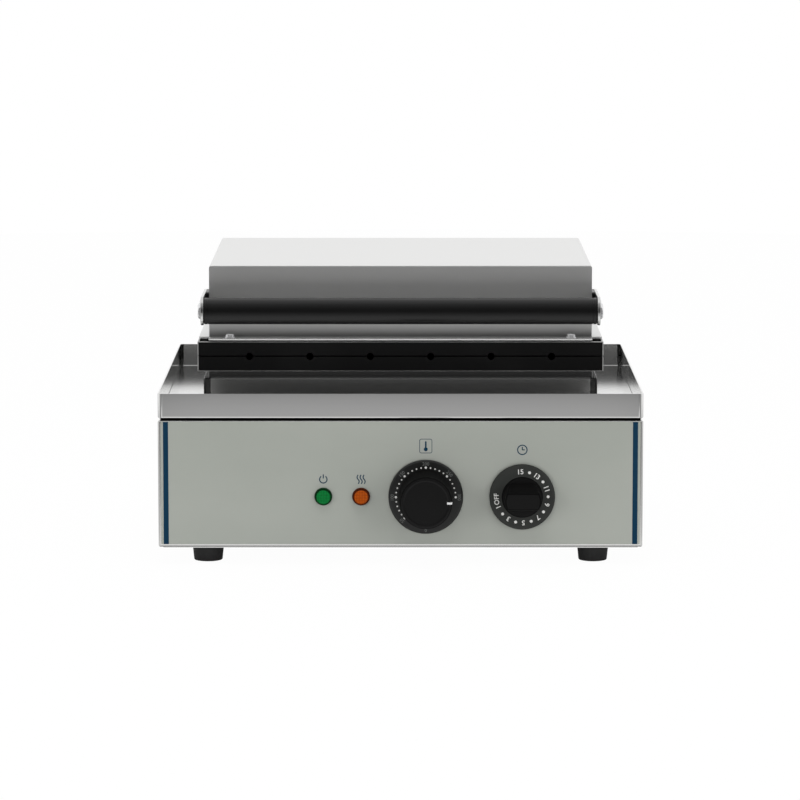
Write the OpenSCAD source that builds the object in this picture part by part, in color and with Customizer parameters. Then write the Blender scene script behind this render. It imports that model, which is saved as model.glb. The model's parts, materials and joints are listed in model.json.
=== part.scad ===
// Countertop corn dog maker: a sheet steel base with a drip tray, a pair of cast mould plates
// for food on sticks, and a hinged lid with a bar handle.
// Millimetres, +Z up, front towards -Y. The origin is at the middle of the overall box, on the table.

/* [Base] */
// Width of the base box and the tray
base_w = 340; // [325:1:400]
// Depth of the base box and the tray
base_d = 290; // [285:1:340]
// Height of the base box above its bottom cover
base_h = 89.5; // [80:0.5:130]
// Thickness of the base, cover and tray sheet
sheet_t = 1; // [0.8:0.1:1.5]
// Outer radius of the bends at the upright corners of the base
bend_r = 2; // [1.5:0.1:4]
// Outer radius of the folds along floors and lips
fold_r = 1.4; // [1.2:0.1:3]
// Width of the folded lips of the base box
lip_w = 14; // [12:1:20]
// Thickness of the printed fascia on the front
fascia_t = 0.6; // [0.4:0.1:1.2]
// Corner radius of the fascia
fascia_r = 1; // [0.5:0.1:4]

/* [Feet] */
// Height of a rubber foot
foot_h = 11.5; // [8:0.5:30]
// Diameter of a foot where it meets the base
foot_top_d = 22.4; // [20:0.1:34]
// Diameter of a foot on the table
foot_bottom_d = 20; // [16:0.1:30]
// Distance of the feet from the sides of the base
foot_inset_x = 34; // [30:1:60]
// Distance of the feet from the front and back of the base
foot_inset_y = 22; // [20:1:60]

/* [Tray] */
// Height of the tray walls
tray_h = 17.5; // [12:0.5:26]
// Outer radius of the upright bends of the tray
tray_r = 3.5; // [2:0.1:6]
// Thickness of the seal between base and tray
seal_t = 1.5; // [1:0.1:3]
// Distance of the seal behind the faces of the base
seal_inset = 1.8; // [1.2:0.1:4]

/* [Mould plates] */
// Width of a mould plate
plate_w = 287; // [282:1:300]
// Depth of a mould plate
plate_d = 225; // [222:1:232]
// Thickness of a plate at its edge
rim_t = 10.5; // [8:0.5:14]
// Depth of the pocket block behind the edge
block_h = 12; // [11:0.5:16]
// Gap between the closed plates
parting_gap = 0.3; // [0.2:0.05:1]
// Distance of the plates behind the front of the base
plate_setback = 35; // [30:1:40]
// Number of food pockets
pocket_n = 6; // [4:1:6]
// Distance between pocket centres
pocket_pitch = 42.7; // [40:0.1:44]
// Radius of a pocket
pocket_r = 16.5; // [14:0.5:17]
// Length of a pocket
pocket_l = 168; // [140:1:170]
// Height of the waffle ribs in the pockets
rib_h = 2.5; // [1:0.1:3]
// Width of a waffle rib
rib_t = 2; // [1.5:0.1:4]
// Distance between the waffle ribs along a pocket
rib_pitch = 14; // [12:1:24]
// Angle between the waffle ribs round a pocket
rib_angle = 45; // [35:1:50]
// Distance from the back of a plate to its pockets
pocket_rear = 22; // [18:1:26]
// Diameter of a stick hole
stick_d = 5; // [4:0.1:8]
// Diameter of the tubular heaters
heater_d = 6.5; // [5:0.5:8]

/* [Lower housing] */
// Height of the housing under the lower plate
shell_h = 22.5; // [20:0.5:40]
// Height of the collar on the housing
neck_h = 5.35; // [3:0.05:9]
// Step from the housing in to its collar
neck_step = 3; // [2:0.5:4]
// Step from the plate edge to the housing at the sides
shell_side_step = 4; // [2:0.5:8]
// Step from the plate edge to the housing at the front and back
shell_front_step = 5; // [3:0.5:10]
// Gap between a pocket block and the sheet round it
block_gap = 2.2; // [1.5:0.1:4]

/* [Lid] */
// Height of the lid cover
lid_h = 52.1; // [46:0.1:80]
// Step from the plate edge to the lid at the sides
lid_side_step = 8; // [4:0.5:10]
// Depth of the front flange of the lid
lid_front_flange = 10; // [9:0.5:14]
// Depth of the rear flange of the lid
lid_rear_flange = 8; // [8:0.5:12]
// Thickness of the lid and lower housing sheet
lid_t = 1.2; // [1:0.1:2]
// Radius of the lid bends at the sides
lid_r = 2; // [1.6:0.1:6]
// Radius of the lid edge at the front and back
lid_edge_r = 1; // [0.8:0.1:3]
// Thickness of the seal between lid and upper plate
lid_seal_t = 0.8; // [0.5:0.1:2]
// Diameter of the lid screws
lid_screw_d = 3; // [3:0.5:4]
// Distance of the lid screws from the lid centre
lid_screw_x = 120.7; // [90:0.1:126]

/* [Handle] */
// Diameter of the grip
grip_d = 18.5; // [16:0.5:26]
// Distance from the lid front to the grip axis
grip_reach = 32; // [28:1:40]
// Height of the grip axis above the lid flange
grip_up = 23.3; // [18:0.1:30]
// Thickness of the handle arms
arm_t = 2; // [1.5:0.1:4]
// Height of the handle arms
arm_h = 20; // [16:0.5:24]
// Length of arm behind the grip axis
arm_back = 52; // [48:1:80]
// Thickness of the spacers between arms and lid
arm_spacer = 2.3; // [1:0.1:5]

/* [Hinge] */
// Distance of the hinge axis behind the lid
hinge_back = 23; // [22:0.5:26]
// Height of the hinge axis above the plate joint
hinge_up = 9.5; // [9:0.5:12]
// Distance of the hinges from the middle
hinge_x = 85; // [50:1:110]
// Diameter of the hinge pins
hinge_pin_d = 8; // [6:0.5:10]
// Radius of the hinge eyes
hinge_eye_r = 9; // [8:0.5:10]
// Thickness of a hinge arm
hinge_arm_t = 4; // [3:0.5:6]
// Thickness of a hinge bracket cheek
hinge_cheek_t = 2.5; // [2:0.5:4]
// Angle at which the lid meets its stop
lid_open_deg = 95; // [80:1:100]

/* [Controls] */
// Height of the control row above the bottom of the base
control_up = 35.9; // [30:0.1:50]
// Sideways place of the thermostat
thermostat_x = 17.7; // [0:0.1:30]
// Sideways place of the timer
timer_x = 85.3; // [76:0.1:110]
// Sideways place of the power lamp
power_lamp_x = -54.1; // [-90:0.1:-50]
// Sideways place of the heat lamp
heat_lamp_x = -27.6; // [-34:0.1:-24]
// Diameter of the thermostat scale ring
bezel_d = 52.4; // [48:0.1:60]
// Thickness of the thermostat scale ring
bezel_t = 3; // [2:0.1:5]
// Diameter of the thermostat grip
thermostat_knob_d = 38; // [30:0.5:40]
// Height of the thermostat grip
thermostat_knob_h = 27.6; // [18:0.1:34]
// Diameter of the timer dial
timer_dial_d = 46; // [40:0.5:56]
// Height of the timer dial with its grip
timer_knob_h = 24; // [18:0.5:28]
// Length of the timer grip bar
timer_bar_l = 25; // [20:0.5:30]
// Thickness of the timer grip bar at its front
timer_bar_t = 11.6; // [9:0.1:18]
// Widening of each side of the bar towards the dial
timer_bar_spread = 5; // [0:0.1:6]
// Diameter of the knob shafts
shaft_d = 6; // [5:0.5:8]
// Diameter of a lamp bezel
lamp_d = 12.8; // [12:0.1:18]
// Diameter of a lamp lens
lens_d = 10.6; // [8:0.1:11]

/* [Cable entries] */
// Diameter of the cord hole through the gland
cord_bore_d = 8; // [6:0.5:10]
// Reach of the gland behind the base
gland_reach = 22; // [18:1:30]
// Distance of the gland from the right side of the base
gland_inset = 60; // [40:1:90]
// Height of the gland above the bottom of the base
gland_up = 30.5; // [22:0.5:50]
// Diameter of the hole for the lid wiring
conduit_bore_d = 9; // [6:0.5:11]

/* [Hidden] */
$fn = 48;
// Clearances: between moving parts, round screws, round a running shaft, and behind a knob
clear = 0.3;
screw_clear = 0.25;
run_clear = 0.05;
knob_gap = 0.5;
over = 1;

// Fastener sizes
m3 = 3;
m4 = 4;
m5 = 5;
m6 = 6;

// Heights
base_z = foot_h + sheet_t;
base_top = base_z + base_h;
tray_z = base_top + seal_t;
tray_floor = tray_z + sheet_t;
tray_rim = tray_z + tray_h;
shell_top = tray_floor + shell_h;
rim_z = shell_top + neck_h;
lower_face = rim_z + rim_t;
upper_face = lower_face + parting_gap;
part_z = lower_face + parting_gap / 2;
lid_seal_z = upper_face + rim_t;
lid_flange_z = lid_seal_z + lid_seal_t;
lid_top = lid_flange_z + lid_h;
lower_block_z = rim_z - block_h;
upper_block_z = lid_seal_z + block_h;
control_z = base_z + control_up;
grip_z = lid_flange_z + grip_up;

// Places along the depth, from the middle of the base
front_y = -base_d / 2;
back_y = base_d / 2;
fascia_y = front_y - fascia_t;
plate_front = front_y + plate_setback;
plate_back = plate_front + plate_d;
plate_mid = (plate_front + plate_back) / 2;
lid_front = plate_front + lid_front_flange;
lid_back = plate_back - lid_rear_flange;
lid_mid = (lid_front + lid_back) / 2;
shell_front = plate_front + shell_front_step;
shell_back = plate_back - shell_front_step;
shell_mid = (shell_front + shell_back) / 2;
grip_y = lid_front - grip_reach;
hinge_y = lid_back + hinge_back;
hinge_z = part_z + hinge_up;

// Sizes that follow
gland_x = base_w / 2 - gland_inset;
lid_w = plate_w - 2 * lid_side_step;
lid_d = lid_back - lid_front;
shell_w = plate_w - 2 * shell_side_step;
shell_d = shell_back - shell_front;
lower_block_w = shell_w - 2 * (neck_step + lid_t + block_gap);
lower_block_d = shell_d - 2 * (neck_step + lid_t + block_gap);
upper_block_w = lid_w - 2 * (lid_t + block_gap);
upper_block_d = lid_d - 2 * (lid_t + block_gap);
grip_l = lid_w + 2 * arm_spacer;
arm_x = grip_l / 2;
knob_reach = fascia_t + bezel_t + knob_gap + thermostat_knob_h;
// Shift that puts the middle of the overall box over the origin
base_shift = (knob_reach - gland_reach) / 2;

// Shapes used by several parts

// Rectangle with round corners, centred
module rounded_rect(w, d, r) {
    square([w - 2 * r, d], center = true);
    square([w, d - 2 * r], center = true);
    for (x = [-1, 1], y = [-1, 1])
        translate([x * (w / 2 - r), y * (d / 2 - r)]) circle(r);
}

// Extrusion along X of a drawing whose axes are Y and Z, centred on X
module along_x(l) {
    rotate([90, 0, 90]) linear_extrude(l, center = true) children();
}

// Extrusion along Y of a drawing whose axes are X and Z, centred on Y
module along_y(l) {
    rotate([90, 0, 0]) linear_extrude(l, center = true) children();
}

// Slab standing on z = 0 with round upright corners and chamfered top and bottom edges
module chamfered_slab(w, d, t, r, c) {
    module side(l) {
        polygon([[-l / 2 + c, 0], [l / 2 - c, 0], [l / 2, c], [l / 2, t - c],
                 [l / 2 - c, t], [-l / 2 + c, t], [-l / 2, t - c], [-l / 2, c]]);
    }
    intersection() {
        linear_extrude(t) rounded_rect(w, d, r);
        along_x(w + 2 * over) side(d);
        along_y(d + 2 * over) side(w);
    }
}

// Solid tub standing on z = 0: round upright corners, round bottom edges
module tub(w, d, h, corner_r, bottom_r) {
    module side(l) {
        translate([0, h / 2 + bottom_r]) rounded_rect(l, h + 2 * bottom_r, bottom_r);
    }
    intersection() {
        linear_extrude(h) rounded_rect(w, d, corner_r);
        along_x(w + 2 * over) side(d);
        along_y(d + 2 * over) side(w);
    }
}

// Cylinder lying along +Y or -Y from the origin
module bar_y(d, l) {
    rotate([-90, 0, 0]) cylinder(d = d, h = l);
}

// Cylinder lying along X, centred
module bar_x(d, l) {
    rotate([0, 90, 0]) cylinder(d = d, h = l, center = true);
}

// Pan-head screw hanging down from z = 0, with its head above
module pan_screw(d, l) {
    head_d = 2 * d;
    head_h = 0.65 * d;
    crown = 0.25 * d;
    translate([0, 0, -l]) cylinder(d = d, h = l);
    cylinder(d = head_d, h = head_h - crown);
    translate([0, 0, head_h - crown]) cylinder(d1 = head_d, d2 = head_d - 2.6 * crown, h = crown);
}

// Hexagonal nut standing on z = 0
module hex_nut(d, h) {
    difference() {
        cylinder(d = 1.95 * d, h = h, $fn = 6);
        translate([0, 0, -over]) cylinder(d = d + 2 * screw_clear, h = h + 2 * over);
    }
}

// Four places, symmetric about both axes
module four(x, y) {
    for (i = [-1, 1], j = [-1, 1]) translate([i * x, j * y, 0]) children();
}

// Base box

// Radius of a bend on a face that lies this far inside the outer face
function inner_r(r, inset) = max(r - inset, 0.4);

module base_wall(inset) {
    rounded_rect(base_w - 2 * inset, base_d - 2 * inset, inner_r(bend_r, inset));
}

// Closed box with every edge bent round, this far inside the outer faces
module base_form(inset) {
    w = base_w - 2 * inset;
    d = base_d - 2 * inset;
    h = base_h - 2 * inset;
    r = inner_r(fold_r, inset);
    translate([0, 0, base_z + inset]) intersection() {
        linear_extrude(h) base_wall(inset);
        along_x(w + 2 * over) translate([0, h / 2]) rounded_rect(d, h, r);
        along_y(d + 2 * over) translate([0, h / 2]) rounded_rect(w, h, r);
    }
}

// Holes for the controls, through anything that the fascia covers
module control_holes(shaft_hole, lamp_hole) {
    depth = 6 * sheet_t + 2 * over;
    for (x = [thermostat_x, timer_x])
        translate([x, fascia_y - over, control_z]) bar_y(shaft_hole, depth);
    for (x = [power_lamp_x, heat_lamp_x])
        translate([x, fascia_y - over, control_z]) bar_y(lamp_hole, depth);
}

shaft_bush_wall = 2;
bush_d = shaft_d + 2 * shaft_bush_wall;
lamp_barrel_d = lens_d - 1.6;
bezel_screw_r = 14;

tray_stud_x = base_w / 2 - lip_w * 0.6;
tray_stud_y = base_d * 0.293;
cover_screw_x = base_w / 2 - lip_w * 0.6;
cover_screw_y = base_d * 0.328;
cover_screw_l = 5;
vent_w = 3;
vent_l = 36;
vent_n = 7;
vent_pitch = 8;
vent_shift = -base_w * 0.06;
conduit_x = -60;
conduit_up = base_h * 0.75;

// Upright slot with round ends
module vent_slot(l) {
    square([vent_w, l - vent_w], center = true);
    for (s = [-1, 1]) translate([0, s * (l - vent_w) / 2]) circle(d = vent_w);
}

module base_chassis() {
    color("lightgray") difference() {
        base_form(0);
        base_form(sheet_t);
        // folded lips are left at the top and the bottom
        translate([0, 0, base_z - over]) linear_extrude(base_h + 2 * over)
            square([base_w - 2 * lip_w, base_d - 2 * lip_w], center = true);
        control_holes(bush_d + 2 * screw_clear, lamp_barrel_d + 2 * screw_clear);
        for (s = [-1, 1])
            translate([thermostat_x + s * bezel_screw_r, fascia_y - over, control_z])
                bar_y(m3 + 2 * screw_clear, 2 * over + fascia_t + sheet_t + over);
        four(tray_stud_x, tray_stud_y)
            translate([0, 0, base_top - sheet_t - over])
                cylinder(d = m5 + 2 * screw_clear, h = sheet_t + 2 * over);
        four(cover_screw_x, cover_screw_y)
            translate([0, 0, base_z - over]) cylinder(d = m4 + 2 * screw_clear, h = sheet_t + 2 * over);
        // louvre slots low in the back wall
        for (i = [0:vent_n - 1])
            translate([(i - (vent_n - 1) / 2) * vent_pitch * 1.6 + vent_shift, back_y, base_z + base_h * 0.3])
                along_y(4 * sheet_t) vent_slot(vent_l * 0.7);
        translate([gland_x, back_y - sheet_t - over, base_z + gland_up])
            bar_y(gland_thread_d + 2 * screw_clear, sheet_t + 2 * over);
        translate([conduit_x, back_y - sheet_t - over, base_z + conduit_up])
            bar_y(conduit_thread_d + 2 * screw_clear, sheet_t + 2 * over);
    }
}

fascia_low = 2;
fascia_top = 0.6;

module front_fascia() {
    color("darkseagreen") difference() {
        translate([0, front_y - fascia_t / 2, base_z + (base_h + fascia_low - fascia_top) / 2])
            along_y(fascia_t) rounded_rect(base_w - 2 * bend_r, base_h - fascia_low - fascia_top, fascia_r);
        control_holes(bush_d + 2 * screw_clear, lamp_barrel_d + 2 * screw_clear);
        for (s = [-1, 1])
            translate([thermostat_x + s * bezel_screw_r, fascia_y - over, control_z])
                bar_y(m3 + 2 * screw_clear, 2 * over + fascia_t);
    }
}

module bottom_cover() {
    cover_inset = 3;
    color("silver") difference() {
        translate([0, 0, foot_h]) linear_extrude(sheet_t)
            rounded_rect(base_w - 2 * cover_inset, base_d - 2 * cover_inset, bend_r);
        four(cover_screw_x, cover_screw_y)
            translate([0, 0, foot_h - over]) cylinder(d = m4 + 2 * screw_clear, h = sheet_t + 2 * over);
        four(base_w / 2 - foot_inset_x, base_d / 2 - foot_inset_y)
            translate([0, 0, foot_h - over]) cylinder(d = m5 + 2 * screw_clear, h = sheet_t + 2 * over);
        // two rows of cooling slots
        for (row = [-1, 1], i = [0:vent_n - 1])
            translate([(i - (vent_n - 1) / 2) * vent_pitch * 2, row * base_d / 5, foot_h - over])
                linear_extrude(sheet_t + 2 * over) vent_slot(vent_l);
    }
}

module cover_screws() {
    color("gainsboro") four(cover_screw_x, cover_screw_y)
        translate([0, 0, foot_h]) rotate([180, 0, 0]) pan_screw(m4, cover_screw_l);
}

// Feet

module rubber_feet() {
    recess_d = foot_bottom_d * 0.6;
    color([0.12, 0.12, 0.12]) four(base_w / 2 - foot_inset_x, base_d / 2 - foot_inset_y)
        difference() {
            cylinder(d1 = foot_bottom_d, d2 = foot_top_d, h = foot_h);
            translate([0, 0, -over]) cylinder(d = recess_d, h = foot_h / 2 + over);
            cylinder(d = m5 + 2 * screw_clear, h = foot_h + over);
        }
}

nut_h = 4;
screw_tail = 2;

module foot_screws() {
    color("gainsboro") four(base_w / 2 - foot_inset_x, base_d / 2 - foot_inset_y)
        translate([0, 0, foot_h / 2]) rotate([180, 0, 0])
            pan_screw(m5, foot_h / 2 + sheet_t + nut_h + screw_tail);
}

// Tray

wire_hole_w = 70;
wire_hole_d = 26;
wire_hole_margin = 14;
wire_hole_y = shell_back - wire_hole_margin - wire_hole_d;
post_x = pocket_pitch * 2.5;
post_inset = 42;
post_y = plate_d / 2 - post_inset;
post_d = 14;
thread_depth = 4;
thread_end = 0.5;
shell_foot = 9;
bracket_foot = 12;
bracket_gap = 0.5;
bracket_in = hinge_arm_t / 2 + bracket_gap;
bracket_out = bracket_in + hinge_cheek_t;
bracket_screw_back = 2;
bracket_screw_y = hinge_y - bracket_screw_back;

module tray_seal() {
    color([0.1, 0.1, 0.1]) difference() {
        translate([0, 0, base_top]) linear_extrude(seal_t) difference() {
            base_wall(seal_inset);
            square([base_w - 2 * lip_w, base_d - 2 * lip_w], center = true);
        }
        four(tray_stud_x, tray_stud_y)
            translate([0, 0, base_top - over]) cylinder(d = m5 + 2 * screw_clear, h = seal_t + 2 * over);
    }
}

module splash_tray() {
    color("silver") {
        difference() {
            translate([0, 0, tray_z]) tub(base_w, base_d, tray_h, tray_r, fold_r);
            translate([0, 0, tray_floor])
                tub(base_w - 2 * sheet_t, base_d - 2 * sheet_t, tray_h + over,
                    inner_r(tray_r, sheet_t), inner_r(fold_r, sheet_t));
            translate([-wire_hole_w / 2, wire_hole_y, tray_z - over])
                cube([wire_hole_w, wire_hole_d, sheet_t + 2 * over]);
            translate([0, plate_mid, 0]) four(post_x, post_y)
                translate([0, 0, tray_z - over]) cylinder(d = m6 + 2 * screw_clear, h = sheet_t + 2 * over);
            translate([0, shell_mid, 0]) four(shell_w / 2 - lid_t - shell_foot / 2, shell_d / 4)
                translate([0, 0, tray_z - over]) cylinder(d = m4 + 2 * screw_clear, h = sheet_t + 2 * over);
            for (s = [-1, 1], t = [-1, 1])
                translate([s * hinge_x + t * (bracket_out + bracket_foot / 2), bracket_screw_y,
                           tray_z - over])
                    cylinder(d = m4 + 2 * screw_clear, h = sheet_t + 2 * over);
        }
        // studs welded under the floor, which hold the tray to the base
        four(tray_stud_x, tray_stud_y)
            translate([0, 0, base_top - sheet_t - nut_h - screw_tail])
                cylinder(d = m5, h = nut_h + screw_tail + sheet_t + seal_t + sheet_t / 2);
    }
}

// Nuts of the feet and of the tray studs
module base_nuts() {
    color("gainsboro") {
        four(base_w / 2 - foot_inset_x, base_d / 2 - foot_inset_y)
            translate([0, 0, foot_h + sheet_t]) hex_nut(m5, nut_h);
        four(tray_stud_x, tray_stud_y)
            translate([0, 0, base_top - sheet_t - nut_h]) hex_nut(m5, nut_h);
    }
}

// Lower housing and plate

// Solid of the housing, this far inside its outer faces and open below
module shell_form(inset) {
    h = shell_h - inset;
    translate([0, 0, h]) mirror([0, 0, 1])
        tub(shell_w - 2 * inset, shell_d - 2 * inset, h + (inset > 0 ? over : 0),
            inner_r(lid_r, inset), inner_r(lid_edge_r, inset));
}

// Outline of the collar, this far inside its outer faces
module neck_wall(inset) {
    rounded_rect(shell_w - 2 * (neck_step + inset), shell_d - 2 * (neck_step + inset), inner_r(lid_r, inset));
}

module lower_shell() {
    color("dimgray") translate([0, shell_mid, tray_floor]) difference() {
        union() {
            difference() {
                shell_form(0);
                shell_form(lid_t);
            }
            // collar round the plate block
            translate([0, 0, shell_h - lid_t]) linear_extrude(lid_t + neck_h - clear) neck_wall(0);
            // feet folded inwards along the two sides
            for (s = [-1, 1])
                translate([s * (shell_w / 2 - lid_t / 2 - shell_foot / 2), 0, lid_t / 2])
                    cube([shell_foot + lid_t, shell_d - 2 * lid_r - 2 * lid_t, lid_t], center = true);
        }
        translate([0, 0, shell_h - lid_t - over]) linear_extrude(lid_t + neck_h + 2 * over) neck_wall(lid_t);
        four(shell_w / 2 - lid_t - shell_foot / 2, shell_d / 4)
            translate([0, 0, -over]) cylinder(d = m4 + 2 * screw_clear, h = lid_t + 2 * over);
    }
}

module shell_screws() {
    color("gainsboro") translate([0, shell_mid, tray_floor + lid_t])
        four(shell_w / 2 - lid_t - shell_foot / 2, shell_d / 4) pan_screw(m4, lid_t + sheet_t + screw_tail);
}

function pocket_x(i) = (i - (pocket_n - 1) / 2) * pocket_pitch;

// Round-ended form lying along Y with its axis at z = 0
module pocket_form(r) {
    half_l = pocket_l / 2 - pocket_r;
    rotate([90, 0, 0]) rotate_extrude() intersection() {
        union() {
            square([2 * r, 2 * half_l], center = true);
            for (s = [-1, 1]) translate([0, s * half_l]) circle(r);
        }
        translate([0, -pocket_l]) square([pocket_l, 2 * pocket_l]);
    }
}

// Slabs where waffle ribs stand: rings along the pocket, and lines from end to end
module rib_slabs() {
    ring_n = floor((pocket_l / 2 - rib_pitch / 2) / rib_pitch);
    for (i = [-ring_n:ring_n])
        translate([0, i * rib_pitch, 0]) cube([4 * pocket_r, rib_t, 4 * pocket_r], center = true);
    for (i = [-1:1])
        rotate([0, i * rib_angle, 0]) cube([rib_t, 2 * pocket_l, 4 * pocket_r], center = true);
}

// Food pocket with waffle ribs left standing in it
module pocket() {
    translate([0, plate_back - pocket_rear - pocket_l / 2, 0]) {
        pocket_form(pocket_r - rib_h);
        difference() {
            pocket_form(pocket_r);
            rib_slabs();
        }
    }
}

// Half channel for a stick, from the front edge into the pocket
module stick_channel() {
    translate([0, plate_front - over, 0]) bar_y(stick_d, plate_d - pocket_rear - pocket_l + over + pocket_r);
}

// Rim layer of a mould plate, with its moulding face at z = 0
module plate_rim() {
    plate_edge = 0.6;
    difference() {
        translate([0, plate_mid, -rim_t])
            chamfered_slab(plate_w, plate_d, rim_t, lid_r * 0.7, plate_edge);
        for (i = [0:pocket_n - 1]) translate([pocket_x(i), 0, 0]) {
            pocket();
            stick_channel();
        }
    }
}

// Block layer of a mould plate, on the back of the rim, with the floors of the pockets
module plate_block(block_w, block_d, block_mid) {
    difference() {
        translate([0, block_mid, -rim_t - block_h]) linear_extrude(block_h)
            rounded_rect(block_w, block_d, lid_r);
        for (i = [0:pocket_n - 1]) translate([pocket_x(i), 0, 0]) pocket();
    }
}

module lower_plate() {
    color([0.09, 0.09, 0.09]) translate([0, 0, lower_face]) plate_rim();
}

module lower_plate_block() {
    color([0.09, 0.09, 0.09]) difference() {
        translate([0, 0, lower_face]) plate_block(lower_block_w, lower_block_d, shell_mid);
        translate([0, plate_mid, 0]) four(post_x, post_y)
            translate([0, 0, lower_block_z - over])
                cylinder(d = m6 + 2 * screw_clear, h = thread_depth + over);
        clamp_holes(lower_block_z - over, thread_depth + over);
    }
}

module plate_posts() {
    color("silver") translate([0, plate_mid, tray_floor]) four(post_x, post_y) difference() {
        cylinder(d = post_d, h = lower_block_z - tray_floor);
        translate([0, 0, -over])
            cylinder(d = m6 + 2 * screw_clear, h = lower_block_z - tray_floor + 2 * over);
    }
}

module post_bolts() {
    bolt_head_h = 4;
    bolt_head_d = 11.5;
    color("gainsboro") translate([0, plate_mid, tray_z]) four(post_x, post_y) {
        cylinder(d = m6, h = lower_block_z - tray_z + thread_depth - thread_end);
        translate([0, 0, -bolt_head_h]) cylinder(d = bolt_head_d, h = bolt_head_h, $fn = 6);
    }
}

// Tubular heater: four legs under the ridges between pockets, with bends at the ends, centred on z = 0
module heater(d) {
    leg_x = pocket_pitch;
    bend = pocket_pitch / 2;
    leg_y = plate_d / 2 - heater_margin;
    for (s = [-1, 1]) {
        for (x = [leg_x, 2 * leg_x])
            translate([s * x, -leg_y, 0]) bar_y(d, 2 * leg_y + (x == 2 * leg_x ? heater_tail : 0));
        translate([s * 1.5 * leg_x, -leg_y, 0]) rotate([0, 0, 180])
            rotate_extrude(angle = 180) translate([bend, 0]) circle(d = d);
        translate([s * (leg_x - bend), leg_y, 0]) rotate([0, 0, s > 0 ? 0 : 90])
            rotate_extrude(angle = 90) translate([bend, 0]) circle(d = d);
    }
    translate([0, leg_y + bend, 0]) bar_x(d, 2 * (leg_x - bend));
}

heater_margin = 52;
heater_tail = 18;
heater_gap = 0.2;
clamp_t = 1.5;
clamp_r = 4;
clamp_over = 13;
clamp_margin = 55;
clamp_screw_x = pocket_pitch * 1.5;
clamp_screw_y = plate_d / 2 - clamp_margin - 5 * m4;

module clamp_holes(z, h) {
    translate([0, plate_mid, z]) four(clamp_screw_x, clamp_screw_y) cylinder(d = m4 + 2 * screw_clear, h = h);
}

module heater_clamp() {
    difference() {
        translate([0, plate_mid, 0]) linear_extrude(clamp_t)
            rounded_rect(4 * pocket_pitch + 2 * clamp_over, plate_d - 2 * clamp_margin, clamp_r);
        clamp_holes(-over, clamp_t + 2 * over);
    }
}

module lower_heater() {
    color("slategray") translate([0, plate_mid, lower_block_z - heater_gap - heater_d / 2]) heater(heater_d);
}

module lower_heater_clamp() {
    color("silver") translate([0, 0, lower_block_z - 2 * heater_gap - heater_d - clamp_t]) heater_clamp();
}

module lower_clamp_screws() {
    l = clamp_t + 2 * heater_gap + heater_d + thread_depth - thread_end;
    color("gainsboro") translate([0, plate_mid, lower_block_z - 2 * heater_gap - heater_d - clamp_t])
        four(clamp_screw_x, clamp_screw_y) rotate([180, 0, 0]) pan_screw(m4, l);
}

// Thermostat sensor: a bulb against the lower plate with its fine tube down through the wire hole
bulb_d = 6;
bulb_l = 70;
bulb_y = wire_hole_y + bulb_d;
tube_d = 2;
tube_up = 28;

module sensor_bulb() {
    bulb_z = lower_block_z - heater_gap - bulb_d / 2;
    down = bulb_z - (control_z + tube_up);
    color("peru") {
        translate([0, bulb_y - bulb_l, bulb_z]) bar_y(bulb_d, bulb_l);
        translate([0, bulb_y - tube_d, bulb_z - down]) cylinder(d = tube_d, h = down);
        translate([0, bulb_y - tube_d, bulb_z - down]) sphere(d = tube_d);
        translate([0, thermostat_mid, bulb_z - down]) bar_y(tube_d, bulb_y - tube_d - thermostat_mid);
        translate([0, thermostat_mid, bulb_z - down]) sphere(d = tube_d);
        translate([0, thermostat_mid, control_z + thermostat_h / 2])
            cylinder(d = tube_d, h = bulb_z - down - control_z - thermostat_h / 2);
    }
}

// Controls behind and on the front

thermostat_w = 44;
thermostat_h = 34;
thermostat_depth = 30;
thermostat_front = front_y + sheet_t;
thermostat_mid = thermostat_front + thermostat_depth / 2;
shaft_blind = 14;

// Case of a rotary control with a bush that comes through the panel
module rotary_case(w, h, depth) {
    difference() {
        union() {
            translate([-w / 2, thermostat_front, -h / 2]) cube([w, depth, h]);
            translate([0, fascia_y, 0]) bar_y(bush_d, thermostat_front - fascia_y + over);
        }
        translate([0, fascia_y - over, 0])
            bar_y(shaft_d + 2 * run_clear, thermostat_front - fascia_y + shaft_blind + over);
    }
}

module thermostat_body() {
    color("whitesmoke") translate([thermostat_x, 0, control_z]) difference() {
        rotary_case(thermostat_w, thermostat_h, thermostat_depth);
        for (s = [-1, 1]) translate([s * bezel_screw_r, thermostat_front - over, 0])
            bar_y(m3 + 2 * screw_clear, thread_depth + over);
    }
}

module timer_body() {
    timer_w = 50;
    timer_depth = 38;
    color("whitesmoke") translate([timer_x, 0, control_z]) rotary_case(timer_w, timer_w, timer_depth);
}

// Turned profile of a dial part: axis along -Y from the panel outwards
module turned_y() {
    rotate([90, 0, 0]) rotate_extrude() children();
}

module thermostat_bezel() {
    bezel_edge = 1.2;
    color([0.1, 0.1, 0.1]) translate([thermostat_x, fascia_y, control_z]) difference() {
        turned_y()
            polygon([[bush_d / 2 + screw_clear, 0], [bezel_d / 2, 0], [bezel_d / 2, bezel_t - bezel_edge],
                            [bezel_d / 2 - bezel_edge, bezel_t], [bush_d / 2 + screw_clear, bezel_t]]);
        for (s = [-1, 1]) translate([s * bezel_screw_r, over, 0]) rotate([90, 0, 0])
            cylinder(d = m3 + 2 * screw_clear, h = bezel_t + 2 * over);
        for (s = [-1, 1]) translate([s * bezel_screw_r, -bezel_t + m3 * 0.7, 0]) rotate([90, 0, 0])
            cylinder(d = 2 * m3 + 2 * screw_clear, h = bezel_t);
    }
}

module bezel_screws() {
    color("gainsboro") for (s = [-1, 1])
        translate([thermostat_x + s * bezel_screw_r, fascia_y - bezel_t + m3 * 0.7, control_z])
            rotate([90, 0, 0]) pan_screw(m3, bezel_t - m3 * 0.7 + fascia_t + sheet_t + thread_depth - 1);
}

// Round grip with a rounded front edge and a shallow dish in its face
knob_cap = 6;
knob_socket_gap = 2;
knob_socket_deep = 11;
knob_socket_d = bush_d + 2 * knob_socket_gap;

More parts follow.
